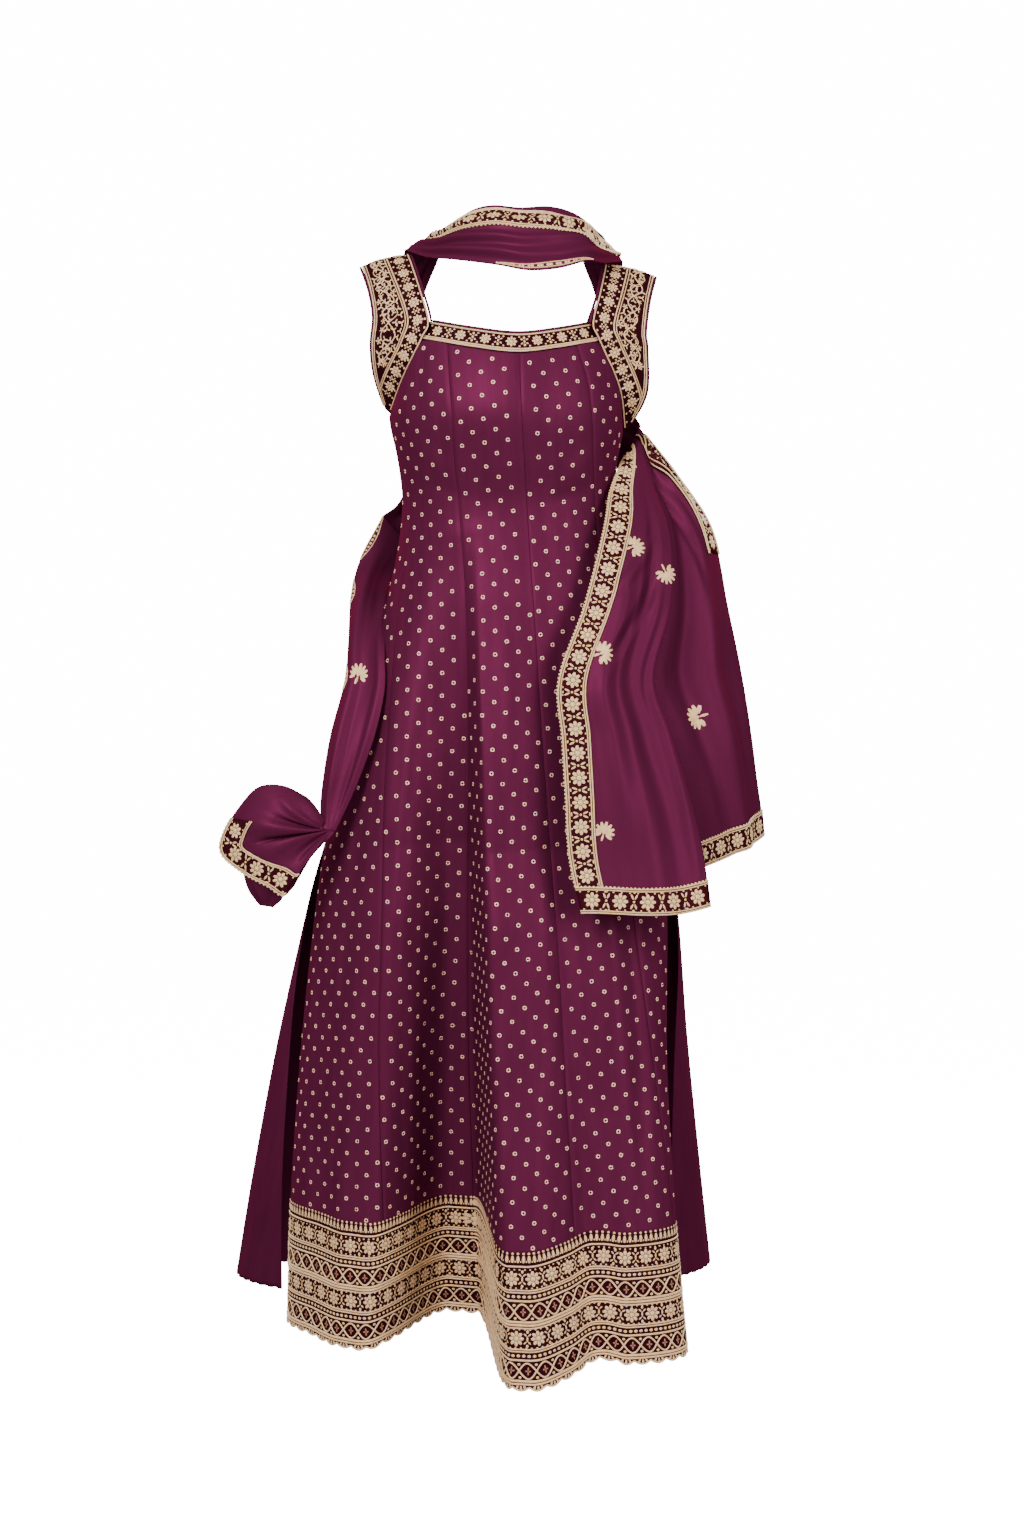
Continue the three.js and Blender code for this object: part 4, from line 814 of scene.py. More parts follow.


# The copper's two colours are painted highlight on the thread crests and painted shade in the
# grooves.
copper_zari = zari("antique copper zari thread", "c08468", "7c4a3a")
work, copper = new_work(), new_work()
FLOWER_PITCH = 25.0
for t in (27.0, 93.0):  # the rows of flowers, with small beads above and below
    sew(work, flower, evenly(BORDER_LENGTH, FLOWER_PITCH, t, size=1.08), border)
    for off in (-10.2, 10.2):
        sew(work, bead, evenly(BORDER_LENGTH, FLOWER_PITCH / 4, t + off, size=0.62), border)
    sew(work, vase, evenly(BORDER_LENGTH, FLOWER_PITCH, t, shift=0.0), border)
for t in (46.6, 112.0):  # the rows of beads
    sew(work, bead, evenly(BORDER_LENGTH, 6.2, t, size=1.15), border)
for t in (63.5, 128.5):  # the rows of crossed ogees, a copper sprig in each cell
    s = np.arange(0, BORDER_LENGTH, 1.8)
    for swing in (8.6, -8.6):
        couch(work, border, s, t + swing * np.cos(math.pi * s / SCALLOP_PITCH), 2.2)
    sew(copper, cell_sprig, evenly(BORDER_LENGTH, SCALLOP_PITCH, t, shift=0.0), border)
    for off in (-7.2, 7.2):
        sew(work, bead, evenly(BORDER_LENGTH, SCALLOP_PITCH, t + off), border)
for t, width in ((13.4, 2.4), (39.6, 2.0), (42.2, 2.0), (51.4, 2.6), (74.8, 3.0), (78.2, 3.0),
                 (81.4, 2.0), (104.8, 2.0), (107.4, 2.0), (116.8, 2.6), (139.8, 3.2), (143.2, 2.6)):
    straight_cord(work, border, BORDER_LENGTH, t, width)
sew(work, loop_stitch, evenly(BORDER_LENGTH, 6.6, 5.4), border)
sew(work, fan_stitch, evenly(BORDER_LENGTH, SCALLOP_PITCH, HEM_BAND_HEIGHT + 0.2), border)
s = np.arange(0, BORDER_LENGTH, 1.5)
couch(work, border, s, HEM_BAND_HEIGHT - 0.6 + scallop(s), 2.6)
hem_gold = finish_work("hem_border_gold", work, gold_zari)
hem_copper = finish_work("hem_border_copper", copper, copper_zari)

# -------------------------------------------------------------- kurti, neck bands
# The square neck is faced with a straight band, embroidered with one row of flowers
# between cords in front, and plain behind.


def neck_point(t, share):
    nominal = NECK_TOP["z"][0] - t
    left, right = left_yoke_x(nominal) + SLANT_GAP, right_yoke_x(nominal) - SLANT_GAP
    x = blend(left, right, share)
    level = neck_top_z(x) - t
    return kurti_front(front_angle(x, level), level)


def neck_band(u, v):
    return neck_line(u * NECK_LENGTH, v * (NECK_BAND_HEIGHT - SLANT_GAP / 2))


neck_line, NECK_LENGTH = ribbon(neck_point, NECK_BAND_HEIGHT / 2)
neck_cloth = lay_cloth("neck_band_cloth", neck_band, np.linspace(0, 1, 70),
                       np.linspace(0, 1, 9), BAND_WALL, band_ground, "neck_band_front")
trefoil = motif("trefoil", [
    (0, 4.6, 4.2, 3.4, 90, 1.0), (0, -4.6, 4.2, 3.4, 90, 1.0), (0, 0, 4.4, 3.0, 90, 1.2)]
    + mirrored(3.2, 2.6, 3.8, 2.4, 30, 0.9))
NECK_PITCH = 28.0
NECK_FLOWER_LINE = 9.6
work = new_work()
sew(work, flower, evenly(NECK_LENGTH, NECK_PITCH, NECK_FLOWER_LINE, size=0.80), neck_line)
sew(work, trefoil, evenly(NECK_LENGTH, NECK_PITCH, NECK_FLOWER_LINE, shift=0.0), neck_line)
for shift in (0.196, 0.804):
    for t in (4.2, 15.2):
        sew(work, bead, evenly(NECK_LENGTH, NECK_PITCH, t, size=0.7, shift=shift), neck_line)
for t, width in ((1.2, 2.2), (18.0, 2.0), (20.4, 2.6)):
    straight_cord(work, neck_line, NECK_LENGTH, t, width)
neck_gold = finish_work("neck_band_gold", work, gold_zari)

# ------------------------------------------------------------- kurti, plain back
# Two flared halves of plain plum satin, seamed down the middle, hang longer at the
# sides and end in a plain scalloped hem; a plain band finishes the back of the neck.

BACK_HEM_Z = -1276
BACK_REACH = table("z reach", [
    (-60, 66), (-100, 86), (-150, 97), (-190, 100), (-240, 95), (-290, 88), (-350, 95), (-410, 110),
    (-500, 128), (-600, 137), (-690, 146), (-780, 132), (-950, 108), (-1135, 96), (-1276, 86),
])
BACK_EDGES = table("z left right left_y right_y turn", [
    (-690, -219, 185, 0, 0, 0), (-735, -233, 197, 13, 13, 0), (-780, -245, 207, 27, 27, 5),
    (-950, -286, 224, 78, 90, 22), (-1135, -325, 247, 140, 172, 32),
    (-1276, -352, 266, 194, 246, 38),
])
BACK_FLUTES = table("angle width depth", [
    (-62, 20, 18), (-24, 24, 26), (14, 22, 22), (50, 20, 20),
])
BACK_YOKE_LEFT = table("z x", [
    (-84, -96), (-106, -105), (-184, -139),
])
BACK_YOKE_RIGHT = table("z x", [
    (-84, 96), (-106, 105), (-206, 136.5),
])
BACK_CURL_REACH = 150
FLUTE_TOP_Z = -480
BACK_NECK_TOP_Z = -84
# Soft creases of the back: from angle, z to angle, z, half-width and height.
BACK_CREASES = [
    (-40, -480, -46, -1240, 5.0, 3.0), (-8, -560, -6, -1260, 5.0, -3.4),
    (30, -520, 34, -1200, 5.0, 3.2), (66, -640, 70, -1270, 5.0, -3.0),
    (-74, -700, -80, -1270, 4.0, 2.6), (8, -230, 26, -330, 7.0, 1.6),
    (-12, -240, -30, -330, 7.0, 1.6), (44, -260, 20, -300, 5.0, -1.4),
    (-44, -260, -20, -300, 5.0, -1.4), (0, -380, 4, -700, 6.0, 2.2),
]
back_reach = curve(BACK_REACH, "z", "reach")
back_edges = curves(BACK_EDGES, "z")
back_yoke_left_x = curve(BACK_YOKE_LEFT, "z", "x")
back_yoke_right_x = curve(BACK_YOKE_RIGHT, "z", "x")


def back_edge(name, level):
    return np.where(level > SLIT_TOP_Z, 0, back_edges[name](level))


def back_widest(name, level):
    return np.where(level > SLIT_TOP_Z, front_section[name](level), back_edges[name](level))


def kurti_back(angle, level):
    left, right = back_widest("left", level), back_widest("right", level)
    side, facing = np.sin(angle), np.cos(angle)
    x = (left + right) / 2 + (right - left) / 2 * side
    side_y = blend(back_edge("left_y", level), back_edge("right_y", level), (side + 1) / 2)
    reach = np.where(facing < 0, BACK_CURL_REACH, back_reach(level))
    growth = np.clip((level - FLUTE_TOP_Z) / (BACK_HEM_Z - FLUTE_TOP_Z), 0, 1)
    y = side_y + reach * np.sign(facing) * np.abs(facing) ** fullness(level)
    for flute, width, depth in zip(*BACK_FLUTES.values()):
        away = np.abs(angle - np.radians(flute)) / np.radians(width)
        y = y - depth * growth * (1 - smooth_step(0, 1, away))
    for a0, z0, a1, z1, half, rise in BACK_CREASES:
        part = np.clip((level - z0) / (z1 - z0), 0, 1)
        away = np.abs(np.degrees(angle) - blend(a0, a1, part)) / half
        y = y + rise * np.sin(math.pi * part) ** 0.7 * (1 - smooth_step(0, 1, away))
    return np.stack([x, y, level + 0 * x], -1)


def back_angle(x, level):
    left, right = back_widest("left", level), back_widest("right", level)
    return np.arcsin(np.clip((2 * x - left - right) / (right - left), -1, 1))


def back_edge_angle(level):
    return math.pi / 2 + np.radians(back_edge("turn", level))


BACK_SCALLOP = 16
BACK_SCALLOP_DEPTH = 2.4
SEAM_ALLOWANCE = 3.0  # the right half's, turned in behind the left half
ALLOWANCE_COLUMNS = np.array([1.5, 3.0, 4.0, 5.5, 7.0]) / 473  # shares of its width
for name, start, end, turned in (("back_half_right", 0.0, 0.5, SEAM_ALLOWANCE),
                                 ("back_half_left", 0.5, 1.0, 0.0)):
    def half_angle(u, level):
        edge = back_edge_angle(level)
        first, last = blend(edge, -edge, start), blend(edge, -edge, end)
        first = first - seam_margin(kurti_back, first, level, SEAM_GAP)
        last = last + seam_margin(kurti_back, last, level, SEAM_GAP - turned)
        return blend(first, last, u)

    def half_point(u, level):
        return kurti_back(half_angle(u, level), level)

    def back_cloth(level):
        x = half_point(columns, level)[:, 0]
        return (x > back_yoke_left_x(level)) & (x < back_yoke_right_x(level))

    def half_hem(u):
        return half_point(u, BACK_HEM_Z + 0 * u)

    def half_surface(u, v):
        run = np.interp(u, columns, hem_run)
        scallops = BACK_SCALLOP_DEPTH * np.abs(np.sin(math.pi * run / BACK_SCALLOP))
        hem = BACK_HEM_Z + BACK_SCALLOP_DEPTH / 2 - scallops
        return half_point(u, blend(np.interp(u, columns, top), hem, v))

    def half_width(u, v):
        v = v + 0.0 * u
        chord = half_surface(1 + 0 * v, v) - half_surface(0 * v, v)
        return 1.1 * lengths(chord)  # the cloth is longer than its chord

    def turned_in(u, v):
        away = (1 - u) * half_width(u, v)
        return (KURTI_WALL + 0.8) * (1 - smooth_step(turned, 2 * turned, away)) if turned else 0

    columns = np.unique(np.concatenate([even_along(96, half_hem), 1 - ALLOWANCE_COLUMNS]))
    hem_run = run_along(half_hem(columns))
    top = highest(back_cloth, BACK_NECK_TOP_Z - NECK_BAND_HEIGHT, BACK_YOKE_RIGHT["z"][-1],
                  len(columns)) - SLANT_GAP / 2
    piece = lay_cloth(name + "_cloth",
                      seam_dip(half_surface, half_width, turned_in, depth=0.6),
                      columns, np.linspace(0, 1, 171), KURTI_WALL, kurti_satin, name)
    work = new_work()  # the narrow turned hem, stitched above the scallops
    runs = np.linspace(0, 1, 260)
    level = BACK_HEM_Z + 7.0 + 0 * runs
    couch(work, kurti_back, half_angle(runs, level), level, 1.1, 0.5)
    finish_work(name + "_hem_stitch", work, kurti_satin)


def back_neck(u, v):
    level = blend(BACK_NECK_TOP_Z, BACK_NECK_TOP_Z - NECK_BAND_HEIGHT + SLANT_GAP / 2, v)
    left, right = back_yoke_left_x(level) + SLANT_GAP, back_yoke_right_x(level) - SLANT_GAP
    return kurti_back(back_angle(blend(right, left, u), level), level)


piece = lay_cloth("neck_band_back_cloth", back_neck, np.linspace(0, 1, 61),
                  np.linspace(0, 1, 7), BAND_WALL, kurti_satin, "neck_band_back")

# ------------------------------------------------------------- kurti, wide straps
# Each strap is a stiffened band of the plum ground that runs from the front of the
# underarm over the shoulder to its back. Its gold work is a flower lace along the
# neck, a vine between cords, and a narrow edge along the armhole.

LEFT_STRAP = table("left_x left_y left_z right_x right_y right_z puff", [
    (-146, 4, -178, -139.6, 12, -184, 0), (-156, 32, -112, -106, 65, -108, 2),
    (-156, 38, -80, -96, 66, -84, 3), (-163, 30, -42, -108, 46, -34, 3),
    (-173, 0, -10, -117, 0, 4, 3), (-163, -28, -38, -103, -50, -36, 3),
    (-157, -42, -72, -91, -75, -80, 3), (-160, -40, -106, -99, -75, -100, 3),
    (-157, -26, -140, -121, -52, -142, 2), (-146, -4, -178, -139.6, -12, -184, 0),
])
RIGHT_STRAP = table("left_x left_y left_z right_x right_y right_z puff", [
    (138.5, 10, -206, 144, 4, -200, 0), (106, 62, -110, 158, 32, -120, 2),
    (96, 66, -84, 158, 38, -88, 3), (108, 46, -42, 165, 30, -52, 3), (115, 0, -8, 174, 0, -21, 3),
    (107, -48, -44, 166, -28, -52, 3), (98, -70, -82, 161, -42, -90, 3),
    (106, -70, -102, 163, -40, -110, 3), (130, -44, -155, 163, -28, -160, 2),
    (138.5, -10, -206, 144, -4, -200, 0),
])


def strip(rows, pleats=None, creases=()):
    """A length of cloth between the two edges of a table, one row for each station.
    puff is how far its middle stands out; pleats run along it, and creases lie as
    rows of across, along, across, along, half-width and height."""
    last = len(rows["puff"]) - 1
    lines = curves(dict(rows, station=np.arange(last + 1.0)), "station")

    def edge(side, v):
        return np.stack([lines[f"{side}_{axis}"](v * last) for axis in "xyz"], -1)

    def flat(u, v):
        u, v = places(u, v)
        left = edge("left", v)
        return left + (edge("right", v) - left) * u[..., None]

    middle = flat(np.full(60, 0.5), np.linspace(0, 1, 60))
    length = run_along(middle)[-1]
    width = lengths(flat(1.0, 0.5) - flat(0.0, 0.5))

    def surface(u, v):
        u, v = places(u, v)
        rise = lines["puff"](v * last) * 4 * u * (1 - u)
        for at, half, height, begins, ends in zip(*pleats.values()) if pleats else ():
            away = np.abs(u - at) / half
            grown = smooth_step(begins, begins + 0.25, v)
            faded = 1 - smooth_step(ends - 0.25, ends, v)
            rise = rise + height * (1 - smooth_step(0, 1, away)) * grown * faded
        if len(creases):
            x0, z0, x1, z1, half, height = np.array(creases, float).T
            scaled = dict(x0=x0 * width, z0=z0 * length, x1=x1 * width, z1=z1 * length,
                          half=half, height=height)
            rise = rise + crease_height(scaled, u * width, v * length)
        return flat(u, v) + normals(flat, u, v) * rise[..., None]

    return surface


def raised(surface, height):
    return lambda u, v: surface(u, v) + normals(surface, u, v) * height


def width_of(surface, v):
    """The width of a strip at shares of its length."""
    return lengths(surface(1.0, v) - surface(0.0, v))


left_strap, right_strap = strip(LEFT_STRAP), strip(RIGHT_STRAP)
vine_leaf = motif("vine leaf", [(2.4, 0, 5.6, 2.6, 0, 0.9), (-1.2, 1.9, 4.0, 1.8, 120, 0.8),
                                (-1.2, -1.9, 4.0, 1.8, 240, 0.8), (0, 0, 2.2, 2.2, 0, 1.2)])
rosette = motif("rosette", ring(2.4, 3.0, 2.2, 0.9, range(0, 360, 72))
                + [(0, 0, 2.6, 2.6, 0, 1.3)])
STRAP_INSET = 0.006
WORKED_LENGTH = np.array([0.012, 0.988])  # shares of the strap
STRAP_PITCH = 22.5
STRAP_FLOWER_LINE = 14.4
MEASURED_LINE = 15.0
VINE_START = 33.0
random = np.random.default_rng(7)
for name, strap, neck_side, flat in (
        ("left", left_strap, 1, (0.075, 0.445)), ("right", right_strap, 0, (0.070, 0.460))):
    cloth = lay_cloth("shoulder_strap_" + name, strap,
                      np.linspace(0, 1 - STRAP_INSET, 25) + (0 if neck_side else STRAP_INSET),
                      np.linspace(STEP, 1 - STEP, 141), BAND_WALL, band_ground,
                      "strap_" + name)

    def from_neck(t, v):
        share = np.asarray(t, float) / width_of(strap, v)
        return strap(1 - share if neck_side else share, v)

    def width_at(s):
        return np.interp(s, reached, widths)

    def with_room(spots, room):
        spots = np.array(spots)
        return spots[width_at(spots[:, 0]) > room]

    ends = WORKED_LENGTH if neck_side else WORKED_LENGTH[::-1]
    line, length = ribbon(from_neck, MEASURED_LINE, *ends)
    shares = np.linspace(*ends, 700)
    reached = run_along(from_neck(np.full(700, MEASURED_LINE), shares))
    widths = width_of(strap, shares)
    work = new_work()
    for made, shift, room in ((flower, 0.5, 25), (trefoil, 0.0, 19)):
        spots = evenly(length, STRAP_PITCH, STRAP_FLOWER_LINE, size=0.86, shift=shift)
        sew(work, made, with_room(spots, room), line)
    for t in (5.0, 23.6):
        sew(work, bead, with_room(evenly(length, STRAP_PITCH / 2, t, size=0.8), t + 4), line)
    s = np.linspace(0, length, 260)
    for t, width in ((1.6, 2.0), (27.2, 2.0), (30.4, 1.4)):
        reach = s[width_at(s) > t + 3]
        couch(work, line, reach, np.full(len(reach), t), width)
    for back, width in ((1.4, 2.0), (4.4, 1.3)):
        reach = s[width_at(s) > back + 12]
        couch(work, line, reach, width_at(reach) - back, width)
    # The vine winds between the lace and the armhole edge, with leaves on both sides.
    field = s[width_at(s) > 52]
    low, high = VINE_START, width_at(field) - 6.5
    middle, swing = (low + high) / 2, (high - low) / 2 * 0.62
    couch(work, line, field, middle + swing * np.sin(field / 7.4), 1.7)
    couch(work, line, field, middle - swing * np.sin(field / 7.4 + 0.5), 1.3)
    spots = np.array([
        (p + random.uniform(-1.6, 1.6), t + random.uniform(-1.2, 1.2),
         random.uniform(0, 360), random.uniform(0.9, 1.25))
        for p in np.arange(field[0] + 3, field[-1] - 2, 8.8)
        for t in np.arange(VINE_START + 3, width_at(p) - 8.5, 8.4)])
    pick = random.random(len(spots)) < 0.28
    sew(work, rosette, spots[pick], line)
    sew(work, vine_leaf, spots[~pick], line)
    gold = finish_work(f"shoulder_strap_{name}_gold", work, gold_zari)

# ------------------------------------------------------------------ kurti, piping
# Cotton cord covered with bias-cut plum satin is sewn into the edge of each armhole
# and round the whole neck.

PIPING_RADIUS = 1.5
PIPING_OFFSET = PIPING_RADIUS + SLANT_GAP
SPUN_RADIUS = 3  # of the ring before it is bent on to its line


def beside_edge(surface, across, outward_sign, along):
    inside = -normals(surface, across, along)
    edge = surface(across, along)
    away = unit(edge - surface(across - outward_sign * 0.2, along))
    return edge + away * PIPING_OFFSET + inside * BAND_WALL / 2


def lay_piping(node, points):
    """A closed round cord through points: a ring spun up from a circle and bent on."""
    count = len(points)
    heading = unit(np.roll(points, -1, axis=0) - np.roll(points, 1, axis=0))
    side = np.array([0.0, 1.0, 0.0])
    sidelong = []
    for forward in heading:
        side = unit(side - forward * side.dot(forward))
        sidelong.append(side)
    sidelong = np.array(sidelong)
    upward = np.cross(heading, sidelong)
    bm = bmesh.new()
    bmesh.ops.create_circle(bm, radius=1, segments=10)
    bmesh.ops.translate(bm, vec=(SPUN_RADIUS, 0, 0), verts=bm.verts)
    bmesh.ops.rotate(bm, cent=(SPUN_RADIUS, 0, 0), verts=bm.verts,
                     matrix=Matrix.Rotation(math.pi / 2, 3, "X"))
    bmesh.ops.spin(bm, geom=bm.verts[:] + bm.edges[:], cent=(0, 0, 0), axis=(0, 0, 1),
                   angle=2 * math.pi, steps=count, use_merge=True)
    bmesh.ops.recalc_face_normals(bm, faces=bm.faces)
    place = np.array([v.co for v in bm.verts])
    turn = np.arctan2(place[:, 1], place[:, 0])
    i = np.rint(turn / (2 * math.pi) * count).astype(int) % count
    out = np.hypot(place[:, 0], place[:, 1]) - SPUN_RADIUS
    where = (points[i] + sidelong[i] * (out * PIPING_RADIUS)[:, None]
             + upward[i] * (place[:, 2] * PIPING_RADIUS)[:, None])
    uvs = np.stack([run_along(points)[i], np.arctan2(place[:, 2], out) * PIPING_RADIUS], -1)
    finish_piece(node + "_cord", bm, where, uvs, kurti_satin, node)


armhole = np.linspace(*WORKED_LENGTH, 170)
lay_piping("piping_armhole_left", beside_edge(left_strap, 0.0, -1, armhole))
lay_piping("piping_armhole_right", beside_edge(right_strap, 1.0, 1, armhole))


def even_route(points, count):
    run = run_along(points)
    at = np.linspace(0, run[-1], count)
    return np.stack([np.interp(at, run, points[:, k]) for k in range(3)], -1)


x = np.linspace(-89, 95.5, 40)
level = neck_top_z(x) + PIPING_RADIUS
front = kurti_front(front_angle(x, level), level)
x = np.linspace(94, -94, 40)
level = BACK_NECK_TOP_Z + PIPING_RADIUS + 0 * x
behind = kurti_back(back_angle(x, level), level)
over = np.linspace(6 / 9 - 0.004, 2 / 9 + 0.004, 60)  # of the straps, from front to back
lay_piping("piping_neck", even_route(np.concatenate([
    front + (0, BAND_WALL / 2, 0), beside_edge(right_strap, 0.0, -1, over),
    behind - (0, BAND_WALL / 2, 0), beside_edge(left_strap, 1.0, 1, over[::-1])]), 260))

# ---------------------------------------------------------------------- dupatta
# The dupatta is one long shawl of soft plum satin with a flower lace sewn round its
# edges and gold sprigs strewn on it. It lies bunched across the neck, and both ends
# come forward again under the arms; each stretch below is one swath of that shawl.

DUPATTA_WALL = 1.2
LACE_WALL = 1.0
LACE_WIDTH = 32
LACE_PITCH = 27.0
shawl_satin = satin("soft plum dupatta satin", "541a36", "49162e", 0.9)
# The lace thread's two colours are painted highlight on its crests and painted shade in its
# grooves.
lace_gold = zari("pale gold lace thread", "fbd9a6", "bd8c56")
lace_ground = satin("dark maroon lace ground", "3a0f18", "260910")

NECK_LOOP = table("left_x left_y left_z right_x right_y right_z puff", [
    (-123, 17.9, 10, -72, 27.9, 31, 2), (-120, -4, 9, -80, -2, 30, 2),
    (-96, -34, -2, -70, -26, 34, 3), (-62, -66, -9, -42, -57, 49, 5),
    (-13, -95, -18, -17, -64, 54, 8), (24, -105, -25, 14, -67, 51, 8),
    (60, -100, -22, 48, -61, 53, 8), (92, -80, -12, 76, -44, 48, 6),
    (113, -40, -10, 96, -22, 37, 5), (135, 2, -4, 102, 6, 27, 4), (137, 17.9, -3, 84, 29.9, 34, 4),
])
NECK_LOOP_PLEATS = table("at half height begins ends", [
    (0.2, 0.12, 4, 0, 1), (0.45, 0.12, 4, 0, 0.9), (0.7, 0.12, 4, 0, 1),
])
NECK_LACE = table("along from to", [
    (0, 0.4, 0.9), (0.12, 0.5, 0.9), (0.25, 0.58, 0.92), (0.5, 0.62, 0.92), (0.65, 0.5, 0.82),
    (0.8, 0.26, 0.62), (0.92, 0.14, 0.46), (1, 0.1, 0.4),
])
BACK_LEFT = table("left_x left_y left_z right_x right_y right_z puff", [
    (-72, 28.5, 31, -123, 18.5, 10, 2), (-84, 64, 6, -132, 56, -10, 3),
    (-106, 94, -56, -158, 76, -66, 4), (-86, 112, -126, -146, 90, -134, 6),
    (-58, 118, -210, -121, 98, -204, 6), (-70, 114, -284, -122, 86, -258, 6),
    (-92, 106, -328, -134, 75, -288, 6), (-116, 96, -354, -152, 62, -303, 5),
])
BACK_RIGHT = table("left_x left_y left_z right_x right_y right_z puff", [
    (137, 18.6, -3, 84, 30.6, 34, 4), (140, 58, -22, 90, 64, 6, 3), (160, 78, -72, 110, 95, -56, 4),
    (157, 88, -134, 92, 113, -128, 6), (154, 78, -176, 80, 116, -205, 7),
    (161, 58, -194, 112, 100, -256, 6), (158, 44, -196, 141, 38, -240, 3),
])
BACK_PLEATS = table("at half height begins ends", [
    (0.22, 0.14, 5, 0, 1), (0.5, 0.14, 5, 0, 1), (0.78, 0.14, 5, 0, 1),
])
neck_lace = curves(NECK_LACE, "along")
loop = strip(NECK_LOOP, NECK_LOOP_PLEATS, [
    (0.08, 0.02, 0.12, 0.55, 8, -1.6), (0.26, 0.0, 0.40, 0.7, 8, -2.4),
    (0.58, 0.05, 0.44, 0.95, 7, -1.6), (0.84, 0.1, 0.80, 0.9, 6, -1.2),
    (0.20, 0.35, 0.12, 0.8, 7, 2.2), (0.12, 0.86, 0.3, 0.99, 5, 2.0),
    (0.9, 0.0, 0.7, 0.2, 6, 1.6), (0.2, 0.0, 0.5, 0.22, 7, 1.8)])


def swath(name, surface, across, along, node):
    """One stretch of the shawl."""
    piece = lay_cloth(name, surface, np.linspace(0, 1, across + 1),
                      np.linspace(0, 1, along + 1), DUPATTA_WALL, shawl_satin, node)


def lace(name, point, start, end, node, carrier, **shown):
    """Flower lace along a line of places: a maroon ribbon with flowers and crossed
    leaves between cords, and tiny loops along one edge."""
    line, length = ribbon(point, LACE_WIDTH / 2, start, end)
    lifted = raised(line, SEAM_GAP + LACE_WALL)
    ground = lay_cloth(name + "_ribbon", lambda u, v: lifted(u * length, v * LACE_WIDTH),
                       np.linspace(0, 1, int(length / 4) + 2), np.linspace(0, 1, 13),
                       LACE_WALL, lace_ground, node)
    half = LACE_WIDTH / 2
    work = new_work()
    sew(work, flower, evenly(length, LACE_PITCH, half, size=1.12), lifted)
    sew(work, lace_cross, evenly(length, LACE_PITCH, half, shift=0.0), lifted)
    for t in (half - 10.2, half + 10.2):
        sew(work, bead, evenly(length, LACE_PITCH / 3, t, size=0.62), lifted)
    for t, cord in ((1.3, 2.0), (3.8, 1.7), (LACE_WIDTH - 3.8, 1.7), (LACE_WIDTH - 1.3, 2.0)):
        straight_cord(work, lifted, length, t, cord, 3.5)
    sew(work, bead, evenly(length, 4.6, 0.2, size=0.75), lifted)
    gold = finish_work(name + "_gold", work, lace_gold)


lace_cross = motif("lace cross", mirrored(2.2, 5.6, 8.0, 2.8, 66, 1.0) + [
    (0, 0, 3.4, 3.4, 0, 1.2), (0, 10.4, 3.4, 2.4, 0, 0.9), (0, -10.4, 3.4, 2.4, 0, 0.9)])
behind_left = strip(BACK_LEFT, BACK_PLEATS, [
    (0.36, 0.0, 0.38, 0.8, 6, -2.4), (0.64, 0.1, 0.62, 0.95, 6, -2.4),
    (0.1, 0.3, 0.1, 0.9, 6, 1.8), (0.9, 0.2, 0.88, 0.8, 6, 1.8)])
behind_right = strip(BACK_RIGHT, BACK_PLEATS, [
    (0.36, 0.0, 0.34, 0.9, 6, -2.4), (0.66, 0.0, 0.62, 0.8, 6, -2.4),
    (0.1, 0.2, 0.12, 0.9, 6, 1.8), (0.9, 0.1, 0.86, 0.8, 6, 1.8)])
swath("dupatta_neck", loop, 44, 220, "dupatta_neck_loop")
swath("dupatta_behind_left", behind_left, 36, 130, "dupatta_back_left")
swath("dupatta_behind_right", behind_right, 36, 110, "dupatta_back_right")


def neck_lace_point(t, v):
    start, end = neck_lace["from"](v), neck_lace["to"](v)
    return loop(blend(start, end, np.asarray(t, float) / LACE_WIDTH), v)


lace("lace_neck", neck_lace_point, 20 / 22, 3 / 22, "lace_neck_loop", "dupatta_neck",
     area=0.0074)

# The left end: a swath between arm and body, then a bunch that fans out of the hand.

TAIL_LEFT = table("left_x left_y left_z right_x right_y right_z puff", [
    (-152.2, 61.6, -303.4, -116.4, 95.6, -354.4, 5), (-177, 46, -350, -141, 52, -388, 8),
    (-189, 22, -396, -143, -4, -424, 8), (-191, -14, -457, -145, -50, -458, 8),
    (-194, -37, -500, -144, -74, -505, 8), (-209, -60, -560, -154, -86, -556, 8),
    (-217, -76, -610, -169, -90, -600, 7), (-220, -86, -646, -184, -93, -636, 5),
    (-216, -100.6, -671, -202, -98.6, -673, 1),
])
TAIL_PLEATS = table("at half height begins ends", [
    (0.3, 0.2, 6, 0, 1.0), (0.7, 0.2, -4, 0, 1.0),
])
END_LEFT = table("left_x left_y left_z right_x right_y right_z puff", [
    (-236, -92, -632, -214, -98, -660, 4), (-262, -97, -619, -216, -100, -666, 10),
    (-292, -92, -621, -217, -102, -669, 16), (-316, -87, -646, -215, -102.6, -669.5, 20),
    (-334, -86, -676, -213, -102.6, -670, 20), (-337, -86, -700, -211, -102.6, -670.5, 18),
    (-312, -96, -721, -209, -102.4, -671, 14), (-280, -106, -737, -207, -102, -671.5, 10),
    (-260, -111, -747, -205, -101.8, -672, 8), (-242, -110, -722, -202, -101.4, -672.5, 5),
])
END_LEFT_UNDER = table("left_x left_y left_z right_x right_y right_z puff", [
    (-311, -94, -721.5, -266, -107, -743, 2), (-305, -86, -744, -264, -100, -752, 2),
    (-293, -82, -762, -276, -88, -764, 0),
])
tail = strip(TAIL_LEFT, TAIL_PLEATS, [
    (0.16, 0.05, 0.22, 0.95, 10, 1.6), (0.60, 0.08, 0.46, 0.97, 11, -3.0),
    (0.90, 0.30, 0.80, 0.98, 9, 1.6)])
